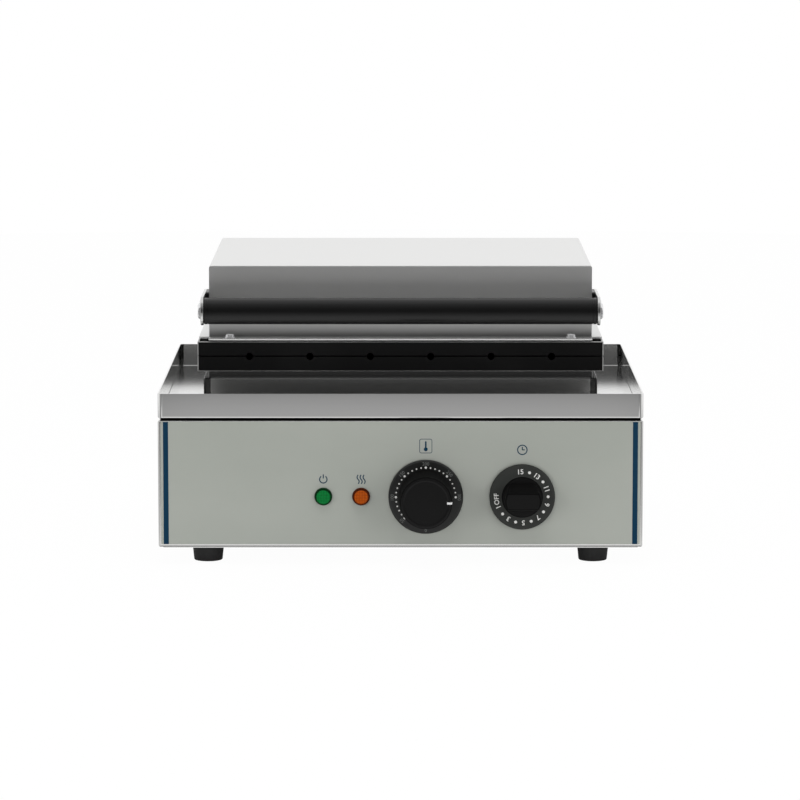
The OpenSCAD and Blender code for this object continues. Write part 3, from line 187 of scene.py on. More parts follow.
def steelFinish(name, look):
    f = Finish(name)
    nx, ny, nz = f.facing.axes()
    lengthwise = f.noise(1, (brush["along"], brush["across"], brush["across"]))
    upright = f.noise(1, (brush["across"], brush["along"], brush["across"]))
    sideFace = nx.size() > steelFaces["side"]
    lines = sideFace * upright + (1 - sideFace) * lengthwise
    cloud = f.noise(brush["cloudScale"], detail=brush["cloudDetail"])
    smear = f.noise(brush["smearScale"], brush["smearFlat"], detail=2)
    smear = smear.ramp(brush["smearFrom"], brush["smearTo"])
    uneven = (lines - 0.5) * look["lines"] + (cloud - 0.5) * look["cloud"]
    rough = look["rough"] + uneven + smear * brush["smear"]
    shade = uneven * brush["contrast"] + 0.5
    colour = shade.blend(tone(look["grey"] * brush["darker"], look["tint"]),
                         tone(look["grey"] * brush["lighter"], look["tint"]))
    x, y, z = f.place.axes()
    metal = look.get("metal", 1.0)
    # painted shade: the collar under the plate and the sides of the housing are painted dark
    if "collarShade" in look:
        collarShade = (z > look["collarShadeAbove"]).larger(x.size() > look["collarShadeBeside"])
        colour = collarShade.blend(colour, tone(look["collarShade"], look["tint"]))
    if "cornerShade" in look:
        # painted shade: the tray's inside corners are painted dark
        cornerShadeMask = (x * nx < steelFaces["cornerShade"]) * (y * ny < steelFaces["cornerShade"])
        colour = cornerShadeMask.blend(colour, tone(look["cornerShade"], look["tint"]))
        rough = rough + (nz > steelFaces["floor"]) * look["floorRough"]
    if "cutMetal" in look:
        cut = (z < look["cutBelow"]) * (ny < steelFaces["front"])
        metal = metal + cut * (look["cutMetal"] - metal)
        # painted shade: the lid's upright walls darken just above the flange
        wall = (z > look["cutBelow"]) * (nz.size() < steelFaces["wall"])
        flangeShadeMask = wall * z.ramp(look["flangeShadeTo"], look["cutBelow"])
        colour = (flangeShadeMask * look["flangeShade"]).blend(colour, tone(0))
    relief = f.bump(lines + cloud * brush["cloudRelief"], look["relief"], brush["depth"])
    return f.feed(Base_Color=colour, Roughness=rough, Metallic=metal, Normal=relief)


# black coating on the castings: grainy skin, rubbed thin on some spots;
# their backs are bare metal, and so in part are their corners
coatLook = {"deep": 0.0030, "deepTint": (1, 1, 1.02), "light": 0.0050, "rough": 0.42, "gloss": 0.22,
            "grain": 1500, "grainRough": 0.12, "relief": 0.25, "depth": 0.06 * mm,
            "patch": 18, "rubbedFrom": 0.45, "rubbedTo": 0.75, "rubbedSmooth": 0.08,
            "bare": 0.66, "bareTint": (1, 1, 0.98), "bareRough": 0.65, "darker": 0.8, "lighter": 1.2,
            "upperBack": 153.0 * mm, "lowerBack": 133.0 * mm, "backFace": 0.5,
            "wornFrom": 142.8 * mm, "wornFace": -0.3, "worn": 0.6}


def coatFinish(name):
    c = coatLook
    f = Finish(name)
    grain = f.noise(c["grain"], detail=2)
    patch = f.noise(c["patch"], detail=5)
    rubbed = patch.ramp(c["rubbedFrom"], c["rubbedTo"])
    x, y, z = f.place.axes()
    nx, ny, nz = f.facing.axes()
    upperBack = (nz > c["backFace"]) * (z > c["upperBack"])
    lowerBack = (nz < -c["backFace"]) * (z < c["lowerBack"])
    corners = (x.size() > c["wornFrom"]) * (ny < c["wornFace"]) * c["worn"]
    bare = (upperBack + lowerBack).larger(corners)
    black = rubbed.blend(tone(c["deep"], c["deepTint"]), tone(c["light"]))
    cast = patch.blend(tone(c["bare"] * c["darker"]), tone(c["bare"] * c["lighter"], c["bareTint"]))
    skin = c["rough"] + (grain - 0.5) * c["grainRough"] - rubbed * c["rubbedSmooth"]
    return f.feed(Base_Color=bare.blend(black, cast), Roughness=skin + bare * (c["bareRough"] - c["rough"]),
                  Metallic=bare, Normal=f.bump(grain, c["relief"], c["depth"]),
                  Specular_IOR_Level=c["gloss"])


# plastics, rubber and ceramic: a moulded skin with its own grain and a little dust in the colour
skinLooks = {
    "foot_rubber": {"colour": (0.028, 0.028, 0.028), "rough": 0.62, "grain": 1300, "relief": 0.30,
                    "dust": 0.30, "gloss": 0.35},
    "seal_rubber": {"colour": (0.001, 0.001, 0.001), "rough": 0.75, "grain": 1100, "relief": 0.30,
                    "dust": 0.25, "gloss": 0.02},
    "grip_plastic": {"colour": (0.0040, 0.0040, 0.0040), "rough": 0.32, "grain": 900, "relief": 0.10,
                     "dust": 0.15, "gloss": 0.34},
    "knob_plastic": {"colour": (0.0055, 0.0055, 0.0055), "rough": 0.40, "grain": 900, "relief": 0.10,
                     "dust": 0.15, "gloss": 0.14, "wallRough": 1.0, "wallDeep": 0.5},
    "bezel_plastic": {"colour": (0.0075, 0.0080, 0.0075), "rough": 0.36, "grain": 1600, "relief": 0.18,
                      "dust": 0.15, "gloss": 0.40},
    "gland_plastic": {"colour": (0.014, 0.014, 0.0145), "rough": 0.45, "grain": 1300, "relief": 0.20,
                      "dust": 0.20, "gloss": 0.5},
    "case_plastic": {"colour": (0.62, 0.62, 0.58), "rough": 0.45, "grain": 900, "relief": 0.12,
                     "dust": 0.08, "gloss": 0.5},
    "case_ceramic": {"colour": (0.70, 0.67, 0.60), "rough": 0.32, "grain": 500, "relief": 0.15,
                     "dust": 0.10, "gloss": 0.5},
    "print_white": {"colour": (0.76, 0.76, 0.74), "rough": 0.50, "grain": 2500, "relief": 0.10,
                    "dust": 0.10, "gloss": 0.4},
    "print_blue": {"colour": (0.0040, 0.034, 0.072), "rough": 0.42, "grain": 2500, "relief": 0.08,
                   "dust": 0.10, "gloss": 0.10},
    "print_dim": {"colour": (0.16, 0.165, 0.16), "rough": 0.55, "grain": 2500, "relief": 0.10,
                  "dust": 0.15, "gloss": 0.2},
}
skinShared = {"coarser": 40, "cloudDust": 2, "darker": 0.75, "lighter": 1.25, "grainRough": 0.10,
              "cloudRough": 0.06, "wallFace": 0.8, "depth": 0.04 * mm}


def deeper(colour, factor):
    return tuple(c * factor for c in colour) + (1,)


def skinFinish(name, look, pointer=None, satin=None):
    k = skinShared
    f = Finish(name)
    grain = f.noise(look["grain"], detail=2)
    cloud = f.noise(look["grain"] / k["coarser"])
    shade = (cloud - 0.5) * look["dust"] * k["cloudDust"] + (grain - 0.5) * look["dust"] + 0.5
    colour = shade.blend(deeper(look["colour"], k["darker"]), deeper(look["colour"], k["lighter"]))
    # painted light: the dial outside the bar's middle is painted paler than the bar
    if satin:
        x, y, z = f.place.axes()
        across = x - satin["x"]
        up = z - satin["z"]
        ring = across * across + up * up > satin["inner"] ** 2
        colour = ((y > satin["behind"]) * ring).blend(colour, satin["colour"] + (1,))
    rough = look["rough"] + (grain - 0.5) * k["grainRough"] + (cloud - 0.5) * k["cloudRough"]
    # painted shade: the knob's side wall is rough and is painted darker than its face
    if "wallRough" in look:
        nx, ny, nz = f.facing.axes()
        wall = ny.size() < k["wallFace"]
        rough = rough + wall * (look["wallRough"] - rough)
        colour = wall.blend(colour, deeper(look["colour"], look["wallDeep"]))
    if pointer:
        colour = pointer(f).blend(colour, tone(pointerMark["grey"]))
    return f.feed(Base_Color=colour, Roughness=rough, Normal=f.bump(grain, look["relief"], k["depth"]),
                  Specular_IOR_Level=look["gloss"])


# painted light: the timer's flat dial is painted paler than the bar, its middle round the bar left dark
dialPaintedLight = {"behind": -147.5 * mm, "x": 85.3 * mm, "z": 48.4 * mm, "inner": 13.9 * mm,
             "colour": (0.034, 0.036, 0.0335)}

# the white filled mark on the rim of the thermostat grip
pointerMark = {"x": 17.7 * mm, "z": 48.4 * mm, "from": 14.6 * mm, "to": 18.3 * mm, "half": 0.75 * mm,
               "front": -165 * mm, "grey": 0.76}


def pointerMask(f):
    x, y, z = f.place.axes()
    out = x - pointerMark["x"]
    band = ((z - pointerMark["z"]).size() < pointerMark["half"]) * (out > pointerMark["from"])
    return band * (out < pointerMark["to"]) * (y < pointerMark["front"])


# printed fascia: greenish grey satin paint under a clear film
fasciaLook = {"shade": (0.345, 0.366, 0.328), "light": (0.372, 0.391, 0.352), "rough": 0.38, "grain": 1800,
              "grainRough": 0.12, "cloud": 9, "cloudFlat": (1, 1, 2), "cloudShare": 0.8, "grainShare": 0.2,
              "shadeFrom": 0.3, "shadeTo": 0.7, "relief": 0.12, "depth": 0.03 * mm,
              "film": 1.0, "filmRough": 0.25}


def fasciaFinish(name):
    p = fasciaLook
    f = Finish(name)
    grain = f.noise(p["grain"], detail=2)
    cloud = f.noise(p["cloud"], p["cloudFlat"])
    shade = cloud * p["cloudShare"] + grain * p["grainShare"]
    colour = shade.ramp(p["shadeFrom"], p["shadeTo"]).blend(p["shade"] + (1,), p["light"] + (1,))
    return f.feed(Base_Color=colour, Roughness=p["rough"] + (grain - 0.5) * p["grainRough"],
                  Normal=f.bump(grain, p["relief"], p["depth"]), Coat_Weight=p["film"],
                  Coat_Roughness=p["filmRough"])


# coloured lamp caps: clear moulded plastic, lit in the middle, with painted shade in the grooves of its grid
lensLooks = {
    "green_lens": {"deep": (0.0005, 0.016, 0.004), "lit": (0.002, 0.225, 0.044), "x": -54.1 * mm,
                   "glow": 0.12},
    "amber_lens": {"deep": (0.030, 0.004, 0.0005), "lit": (0.53, 0.098, 0.006), "x": -27.6 * mm,
                   "glow": 0.14},
}
lensShared = {"z": 48.4 * mm, "inner": 4.4 * mm, "outer": 5.2 * mm, "cell": 1.1025 * mm, "groove": 0.55,
              "grooveSoft": 0.7, "coreShare": 0.85, "speckShare": 0.15, "speck": 2600, "rough": 0.16,
              "speckRough": 0.06, "gloss": 0.1}


def lensFinish(name, look):
    p = lensShared
    f = Finish(name)
    x, y, z = f.place.axes()
    across = x - look["x"]
    up = z - p["z"]
    square = across * across + up * up
    core = square.math("SQRT", square).ramp(p["outer"], p["inner"])
    speck = f.noise(p["speck"], detail=1)
    half = p["cell"] / 2
    columns = across.math("PINGPONG", across, half)
    rows = up.math("PINGPONG", up, half)
    # painted shade in the grooves between the cells
    grooves = 1 - columns.math("MINIMUM", columns, rows).ramp(0, half * p["grooveSoft"])
    lit = (core * p["coreShare"] + speck * p["speckShare"]) * (1 - grooves * p["groove"])
    colour = lit.blend(look["deep"] + (1,), look["lit"] + (1,))
    return f.feed(Base_Color=colour, Roughness=p["rough"] + speck * p["speckRough"], Emission_Color=colour,
                  Emission_Strength=look["glow"], Specular_IOR_Level=p["gloss"])


finishes = {name: steelFinish(name, look) for name, look in steelLooks.items()}
finishes.update({name: skinFinish(name, look) for name, look in skinLooks.items() if name != "knob_plastic"})
finishes.update({name: lensFinish(name, look) for name, look in lensLooks.items()})
finishes["coated_plate"] = coatFinish("coated_plate")
finishes["fascia_grey"] = fasciaFinish("fascia_grey")
finishes["knob_plastic"] = skinFinish("knob_plastic", skinLooks["knob_plastic"], pointerMask)
finishes["dial_plastic"] = skinFinish("dial_plastic", skinLooks["knob_plastic"], satin=dialPaintedLight)
# the timer has a finish of its own
own = {"timer_knob": "dial_plastic"}
for part in frame["record"]["subparts"]:
    for place in nodes[part["node"]].material_slots:
        place.material = finishes[own.get(part["node"], part["material_slot"])]
print("finishes made:", len(finishes))


# hands for modelling
def atEase():
    if bpy.context.object and bpy.context.object.mode != "OBJECT":
        bpy.ops.object.mode_set(mode="OBJECT")
    bpy.ops.object.select_all(action="DESELECT")


def takeUp(*pieces):
    atEase()
    for piece in pieces:
        piece.select_set(True)
    bpy.context.view_layer.objects.active = pieces[0]
    return pieces[0]


def joined(pieces, name):
    whole = takeUp(*pieces)
    if len(pieces) > 1:
        bpy.ops.object.join()
    whole.name = whole.data.name = name
    return whole


def copyOf(piece):
    twin = piece.copy()
    twin.data = piece.data.copy()
    bpy.context.scene.collection.objects.link(twin)
    return twin


def setDown(piece, matrix):
    takeUp(piece)
    piece.matrix_world = matrix
    bpy.ops.object.transform_apply(location=True, rotation=True, scale=True)
    return piece


def editOn(mode="VERT"):
    bpy.ops.object.mode_set(mode="EDIT")
    bpy.ops.mesh.select_mode(type=mode)
    bpy.ops.mesh.select_all(action="DESELECT")


def pick(piece, kind, test):
    bpy.ops.object.mode_set(mode="OBJECT")
    for item in getattr(piece.data, kind):
        item.select = test(item)
    bpy.ops.object.mode_set(mode="EDIT")


def applied(piece, kind, **settings):
    takeUp(piece)
    modifier = piece.modifiers.new(kind.lower(), kind)
    for key, value in settings.items():
        setattr(modifier, key, value)
    bpy.ops.object.modifier_apply(modifier=modifier.name)


def tidyMesh(piece, angle=30):
    takeUp(piece)
    editOn()
    bpy.ops.mesh.select_all(action="SELECT")
    bpy.ops.mesh.remove_doubles(threshold=1e-7)
    bpy.ops.mesh.normals_make_consistent(inside=False)
    bpy.ops.object.mode_set(mode="OBJECT")
    bpy.ops.object.shade_smooth_by_angle(angle=math.radians(angle))


def dress(piece, slotName, body, *replaced, finish=None):
    piece.data.materials.clear()
    piece.data.materials.append(finishes[finish or slotName])
    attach(piece, body)
    if replaced:
        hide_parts(*replaced)


# flat marks are drawn in X and Y, facing up, and then stood on the front
def onFront(x, y, z, turn=0.0):
    upright = Matrix.Rotation(math.pi / 2, 4, "X")
    return Matrix.Translation((x, y, z)) @ upright @ Matrix.Rotation(turn, 4, "Z")


# a place on a dial, clockwise from the top
def onDial(s, away, degrees, turned=True):
    a = math.radians(degrees)
    x = s["x"] + away * math.sin(a)
    z = s["z"] + away * math.cos(a)
    return onFront(x, s["front"], z, -a if turned else 0.0)


wordLook = {"extrude": 0.01, "curveSteps": 4}


def flatWord(word, height, heavier, thick):
    atEase()
    bpy.ops.object.text_add(location=(0, 0, 0))
    mark = bpy.context.object
    mark.data.body = word
    mark.data.offset = heavier
    mark.data.extrude = wordLook["extrude"]
    mark.data.resolution_u = wordLook["curveSteps"]
    bpy.ops.object.convert(target="MESH")
    mark = bpy.context.object
    bpy.ops.object.origin_set(type="ORIGIN_GEOMETRY", center="BOUNDS")
    mark.location = (0, 0, 0)
    scale = height / mark.dimensions.y
    mark.scale = (scale, scale, thick / mark.dimensions.z)
    bpy.ops.object.transform_apply(location=True, rotation=True, scale=True)
    return mark


def flatDot(radius, thick, edge=0.4):
    atEase()
    bpy.ops.mesh.primitive_cylinder_add(vertices=24, radius=radius, depth=thick, location=(0, 0, 0))
    dot = bpy.context.object
    editOn("EDGE")
    pick(dot, "edges", lambda e: all(dot.data.vertices[v].co.z > 0 for v in e.vertices))
    bpy.ops.mesh.bevel(offset=thick * edge, segments=1, affect="EDGES")
    bpy.ops.object.mode_set(mode="OBJECT")
    return dot


def flatBar(x, y, width, height, thick, corner=0.4):
    atEase()
    bpy.ops.mesh.primitive_plane_add(size=1, location=(0, 0, 0))
    bar = bpy.context.object
    bar.scale = (width, height, 1)
    bpy.ops.object.transform_apply(location=False, rotation=False, scale=True)
    editOn()
    bpy.ops.mesh.select_all(action="SELECT")
    bpy.ops.mesh.bevel(offset=min(width, height) * corner, segments=3, affect="VERTICES")
    bpy.ops.object.mode_set(mode="OBJECT")
    applied(bar, "SOLIDIFY", thickness=thick, offset=0)
    return setDown(bar, Matrix.Translation((x, y, 0)))


def flatArc(x, y, radius, width, start, sweep, thick, steps=24):
    atEase()
    bpy.ops.mesh.primitive_plane_add(size=1, location=(0, 0, 0))
    arc = bpy.context.object
    editOn()
    pick(arc, "vertices", lambda v: v.co.y < 0)
    bpy.ops.mesh.delete(type="VERT")
    bpy.ops.mesh.select_all(action="SELECT")
    bpy.ops.transform.translate(value=(0, -0.5, 0))
    bpy.ops.transform.resize(value=(width, 1, 1), center_override=(0, 0, 0))
    bpy.ops.transform.translate(value=(radius, 0, 0))
    bpy.ops.mesh.spin(steps=steps, angle=-math.radians(sweep), center=(0, 0, 0), axis=(0, 0, 1))
    bpy.ops.mesh.select_all(action="SELECT")
    bpy.ops.mesh.remove_doubles(threshold=1e-7)
    bpy.ops.object.mode_set(mode="OBJECT")
    applied(arc, "SOLIDIFY", thickness=thick, offset=0)
    return setDown(arc, Matrix.Translation((x, y, 0)) @ Matrix.Rotation(math.radians(start), 4, "Z"))


# fixed scale ring of the thermostat: fine numerals and dots
thermostatScale = {"x": 17.7 * mm, "z": 48.4 * mm, "front": -143.75 * mm, "numeralAt": 23.55 * mm,
                   "numeralHigh": 2.3 * mm, "dotAt": 20.95 * mm, "bigDot": 0.82 * mm, "smallDot": 0.56 * mm,
                   "thick": 0.08 * mm, "top": 300, "numeralStep": 50, "dotStep": 10, "zero": 180.0,
                   "span": 270.0}


def makeThermostatScale():
    s = thermostatScale
    numerals, dots = [], []
    for value in range(0, s["top"] + 1, s["numeralStep"]):
        word = flatWord(str(value), s["numeralHigh"], 0, s["thick"])
        degrees = s["zero"] + s["span"] * value / s["top"]
        numerals.append(setDown(word, onDial(s, s["numeralAt"], degrees)))
    bigDot, smallDot = flatDot(s["bigDot"], s["thick"]), flatDot(s["smallDot"], s["thick"])
    for value in range(s["numeralStep"], s["top"] + 1, s["dotStep"]):
        dot = copyOf(smallDot if value % s["numeralStep"] else bigDot)
        degrees = s["zero"] + s["span"] * value / s["top"]
        dots.append(setDown(dot, onDial(s, s["dotAt"], degrees, turned=False)))
    for pattern in (bigDot, smallDot):
        bpy.data.objects.remove(pattern)
    dress(joined(numerals, "thermostatNumerals"), "print_white", "base", finish="print_dim")
    dress(joined(dots, "thermostatDots"), "print_white", "base")


# marks that turn with the timer dial
timerScale = {"x": 85.3 * mm, "z": 48.4 * mm, "front": -144.25 * mm, "at": 18.1 * mm, "high": 3.5 * mm,
              "heavier": 0.018, "dot": 1.05 * mm, "thick": 0.08 * mm,
              "words": {"15": -3.6, "13": 35, "11": 70.6, "9": 106.8, "7": 142.8, "5": 177.4, "3": 212.4,
                        "1": 247.3, "OFF": 266},
              "dots": (16, 53, 88.6, 124.7, 159.6, 194.7, 229.4)}


def makeTimerScale():
    s = timerScale
    marks = []
    for word, degrees in s["words"].items():
        mark = flatWord(word, s["high"], s["heavier"], s["thick"])
        marks.append(setDown(mark, onDial(s, s["at"], degrees)))
    dot = flatDot(s["dot"], s["thick"])
    for degrees in s["dots"]:
        marks.append(setDown(copyOf(dot), onDial(s, s["at"], degrees, turned=False)))
    bpy.data.objects.remove(dot)
    dress(joined(marks, "timerScale"), "print_white", "timer_dial")


# blue print on the fascia: a stripe near each end and small signs for power, heat, warmth and time
printed = {"front": -140.75 * mm, "thick": 0.06 * mm, "line": 0.75 * mm, "stripeAt": 164.45 * mm,
           "stripeWide": 3.6 * mm, "stripeFrom": 14.6 * mm, "stripeTo": 101.2 * mm, "stripeCorner": 0.02}

# power: an open ring with a bar in the gap
powerSign = {"x": -54.1 * mm, "z": 60.6 * mm, "ring": 2.6 * mm, "start": 125, "sweep": 290,
             "barUp": 2.1 * mm, "barHigh": 3.0 * mm}


def drawPower(thick, line):
    s = powerSign
    return [flatArc(s["x"], s["z"], s["ring"], line, s["start"], s["sweep"], thick),
            flatBar(s["x"], s["z"] + s["barUp"], line, s["barHigh"], thick)]


# heat: three waves, each of two arcs
heatSign = {"x": -27.6 * mm, "z": 60.6 * mm, "apart": 2.1 * mm, "out": 1.35 * mm, "up": 1.55 * mm,
            "radius": 2.06 * mm, "sweep": 98, "steps": 10}


def drawHeat(thick, line):
    s = heatSign
    arcs = []
    for wave in (-1, 0, 1):
        for side, facing in ((-1, 0), (1, 180)):
            x = s["x"] + wave * s["apart"] + side * s["out"]
            z = s["z"] + side * s["up"]
            start = facing - s["sweep"] / 2
            arcs.append(flatArc(x, z, s["radius"], line, start, s["sweep"], thick, s["steps"]))
    return arcs


# warmth: a thermometer in a frame with round corners
warmthSign = {"x": 17.7 * mm, "z": 84.2 * mm, "stemUp": 1.0 * mm, "stemWide": 1.1 * mm, "stemHigh": 4.8 * mm,
              "bulbDown": 2.3 * mm, "bulb": 0.7 * mm, "bulbWide": 1.4 * mm, "frameWide": 6.0 * mm,
              "frameHigh": 7.2 * mm, "frameLine": 0.4 * mm, "frameEnd": 0.05, "corner": 1.3 * mm, "steps": 8}


def drawWarmth(thick):
    s = warmthSign
    x, z, line = s["x"], s["z"], s["frameLine"]
    halfWide, halfHigh = s["frameWide"] / 2, s["frameHigh"] / 2
    marks = [flatBar(x, z + s["stemUp"], s["stemWide"], s["stemHigh"], thick),
             flatArc(x, z - s["bulbDown"], s["bulb"], s["bulbWide"], 0, 360, thick)]
    for sx, sz, start in ((1, 1, 0), (-1, 1, 90), (-1, -1, 180), (1, -1, 270)):
        cornerX = x + sx * halfWide
        cornerZ = z + sz * halfHigh
        marks.append(flatArc(cornerX, cornerZ, s["corner"], line, start, 90, thick, s["steps"]))
    for side in (-1, 1):
        beside = x + side * (halfWide + s["corner"])
        above = z + side * (halfHigh + s["corner"])
        marks.append(flatBar(beside, z, line, s["frameHigh"], thick, s["frameEnd"]))
        marks.append(flatBar(x, above, s["frameWide"], line, thick, s["frameEnd"]))
    return marks


# time: a clock with two hands
timeSign = {"x": 85.3 * mm, "z": 81.5 * mm, "ring": 3.3 * mm, "steps": 40, "upHand": 1.0 * mm,
            "upHandLong": 2.4 * mm, "sideHand": 0.8 * mm, "sideHandLong": 2.0 * mm}


def drawTime(thick, line):
    s = timeSign
    return [flatArc(s["x"], s["z"], s["ring"], line, 0, 360, thick, s["steps"]),
            flatBar(s["x"], s["z"] + s["upHand"], line, s["upHandLong"], thick),
            flatBar(s["x"] + s["sideHand"], s["z"], s["sideHandLong"], line, thick)]


def makeFasciaPrint():
    p = printed
    thick, line = p["thick"], p["line"]
    high = p["stripeTo"] - p["stripeFrom"]
    middle = p["stripeFrom"] + high / 2
    stripes = [flatBar(side * p["stripeAt"], middle, p["stripeWide"], high, thick, p["stripeCorner"])
               for side in (-1, 1)]
    signs = drawPower(thick, line) + drawHeat(thick, line) + drawWarmth(thick) + drawTime(thick, line)
    for name, marks in (("fasciaStripes", stripes), ("fasciaSigns", signs)):
        piece = joined(marks, name)
        setDown(piece, onFront(0, p["front"], 0))
        dress(piece, "print_blue", "base")


makeThermostatScale()
makeTimerScale()
makeFasciaPrint()
print("marks drawn")


# places of the single solids in a node of many
def islands(name):
    mesh = nodes[name].data
    keys, parent = {}, {}

    def root(k):
        while parent[k] != k:
            k = parent[k]
        return k

    for v in mesh.vertices:
        keys[v.index] = tuple(round(c, 6) for c in v.co)
        parent.setdefault(keys[v.index], keys[v.index])
    for face in mesh.polygons:
        first = root(keys[face.vertices[0]])
        for v in face.vertices[1:]:
            parent[root(keys[v])] = first
    found = {}
    for k in parent:
        found.setdefault(root(k), []).append(k)
    return [(Vector(map(min, zip(*pts))), Vector(map(max, zip(*pts)))) for pts in found.values()]


# cross recess screws with a pan head, in place of the plain ones; sizes are in diameters
screwLook = {"head": 2.0, "high": 0.65, "round": 0.30, "slotLong": 1.05, "slotWide": 0.27, "slotDeep": 0.34,
             "slotTaper": 0.55, "tipEdge": 0.12, "nearEnd": 0.9, "firstTurn": 0.5, "nextTurn": 0.9}
screwNodes = {"lid_screws": ((0, 0, 1), 3, "lid"), "arm_screws": ((1, 0, 0), 4, "lid"),
              "hinge_arm_screws": ((0, 1, 0), 4, "lid"), "bracket_screws": ((0, 0, 1), 4, "base"),
              "cover_screws": ((0, 0, -1), 4, "base"), "foot_screws": ((0, 0, -1), 5, "base")}


def crossScrew(d, length):
    s = screwLook
    top = s["high"] * d
    tip = -length * s["nearEnd"]
    atEase()
    bpy.ops.mesh.primitive_cylinder_add(vertices=40, radius=s["head"] * d / 2, depth=top,
                                        location=(0, 0, top / 2))
    head = bpy.context.object
    bpy.ops.object.transform_apply(location=True)
    editOn("EDGE")
    pick(head, "edges", lambda e: all(head.data.vertices[v].co.z > top * s["nearEnd"] for v in e.vertices))
    bpy.ops.mesh.bevel(offset=s["round"] * d, segments=5, affect="EDGES")
    bpy.ops.object.mode_set(mode="OBJECT")
    blades = []
    for turn in (0, math.pi / 2):
        atEase()
        bpy.ops.mesh.primitive_cube_add(size=1, location=(0, 0, top), rotation=(0, 0, turn))
        blade = bpy.context.object
        blade.scale = (s["slotLong"] * d, s["slotWide"] * d, 2 * s["slotDeep"] * d)
        bpy.ops.object.transform_apply(location=True, rotation=True, scale=True)
        editOn()
        pick(blade, "vertices", lambda v: v.co.z < top)
        bpy.ops.transform.resize(value=(s["slotTaper"], s["slotTaper"], 1), center_override=(0, 0, 0))
        bpy.ops.object.mode_set(mode="OBJECT")
        blades.append(blade)
    for blade in blades:
        applied(head, "BOOLEAN", operation="DIFFERENCE", object=blade, solver="EXACT")
        bpy.data.objects.remove(blade)
    atEase()
    bpy.ops.mesh.primitive_cylinder_add(vertices=24, radius=d / 2, depth=length, location=(0, 0, -length / 2))
    shank = bpy.context.object
    bpy.ops.object.transform_apply(location=True)
    editOn("EDGE")
    pick(shank, "edges", lambda e: all(shank.data.vertices[v].co.z < tip for v in e.vertices))
    bpy.ops.mesh.bevel(offset=s["tipEdge"] * d, segments=1, affect="EDGES")
    bpy.ops.object.mode_set(mode="OBJECT")
    screw = joined([head, shank], "screw")
    tidyMesh(screw)
    return screw


def makeScrews():
    s = screwLook
    for name, (axis, size, body) in screwNodes.items():
        d = size * mm
        along = Vector(axis)
        k = max(range(3), key=lambda i: abs(along[i]))
        found = islands(name)
        length = (found[0][1] - found[0][0])[k] - s["high"] * d
        pattern = crossScrew(d, length)
        copies = []
        for lo, hi in found:
            way = along.copy()
            if k == 0:
                way = along * (1 if lo[0] + hi[0] > 0 else -1)
            seat = (lo + hi) / 2
            seat[k] = (hi[k] - s["high"] * d) if way[k] > 0 else (lo[k] + s["high"] * d)
            turn = way.to_track_quat("Z", "Y").to_matrix().to_4x4()
            spin = Matrix.Rotation(s["firstTurn"] + s["nextTurn"] * len(copies), 4, "Z")
            copies.append(setDown(copyOf(pattern), Matrix.Translation(seat) @ turn @ spin))
        bpy.data.objects.remove(pattern)
        dress(joined(copies, name.replace("_", "-") + "-crossed"), "zinc", body, name)


makeScrews()
print("screws set")


# lamp caps with a fine pyramid grid under a low dome; over, peak and reach are in radii
capLook = {"cells": 10, "pyramid": 0.34 * mm, "dome": 0.75 * mm, "over": 2.1, "peak": 0.05, "reach": 1.1,
           "cutDeep": 3, "crease": 12}


def makeLamp(node, slotName, name):
    lo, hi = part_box(node)
    middle = (lo + hi) / 2
    radius = (hi.x - lo.x) / 2
    deep = hi.y - lo.y
    c = capLook
    atEase()
    bpy.ops.mesh.primitive_grid_add(x_subdivisions=c["cells"], y_subdivisions=c["cells"],
                                    size=c["over"] * radius, location=(0, 0, 0))
    cap = bpy.context.object
    editOn("FACE")
    bpy.ops.mesh.select_all(action="SELECT")
    bpy.ops.mesh.poke(offset=c["pyramid"])
    bpy.ops.mesh.select_mode(type="VERT")
    pick(cap, "vertices", lambda v: v.co.xy.length < radius * c["peak"])
    bpy.ops.transform.translate(value=(0, 0, c["dome"]), use_proportional_edit=True,
                                proportional_edit_falloff="SPHERE", proportional_size=radius * c["reach"])
    bpy.ops.mesh.select_mode(type="FACE")
    bpy.ops.mesh.select_all(action="SELECT")
    bpy.ops.mesh.extrude_region_move(TRANSFORM_OT_translate={"value": (0, 0, -deep)})
    bpy.ops.transform.resize(value=(1, 1, 0), center_override=(0, 0, -deep))
    bpy.ops.object.mode_set(mode="OBJECT")
    takeUp(cap)
    editOn()
    bpy.ops.mesh.select_all(action="SELECT")
    bpy.ops.mesh.normals_make_consistent(inside=False)
    bpy.ops.object.mode_set(mode="OBJECT")
    atEase()
    bpy.ops.mesh.primitive_cylinder_add(vertices=64, radius=radius, depth=c["cutDeep"] * deep,
                                        location=(0, 0, 0))
    cutter = bpy.context.object
    applied(cap, "BOOLEAN", operation="INTERSECT", object=cutter, solver="EXACT")
    bpy.data.objects.remove(cutter)
    top = max(v.co.z for v in cap.data.vertices)
    setDown(cap, onFront(middle.x, lo.y + top, middle.z))
    tidyMesh(cap, c["crease"])
    cap.name = cap.data.name = name
    dress(cap, slotName, "base", node)


makeLamp("power_lens", "green_lens", "powerCap")
makeLamp("heat_lens", "amber_lens", "heatCap")
print("lamps set")


# softened edges on the folded and moulded nodes, in millimetres
edgeWidths = {"front_fascia": 0.3, "handle_arms": 0.35, "hinge_arms": 0.4, "hinge_brackets": 0.4,
              "timer_knob": 0.5, "thermostat_bezel": 0.4, "power_lamp_body": 0.15, "heat_lamp_body": 0.15,
              "cord_gland": 0.3, "gland_cap": 0.4, "base_conduit_gland": 0.3, "lid_conduit_gland": 0.3,
              "handle_nuts": 0.3, "hinge_nuts": 0.4, "hinge_pins": 0.3, "rubber_feet": 0.7,
              "lid_washers": 0.1, "lid_shell": 0.5, "splash_tray": 0.3, "lower_shell": 0.3}
edgeSteps = {"weld": 0.002 * mm, "flat": 0.5, "segments": 3, "sharp": 35, "weight": 60}


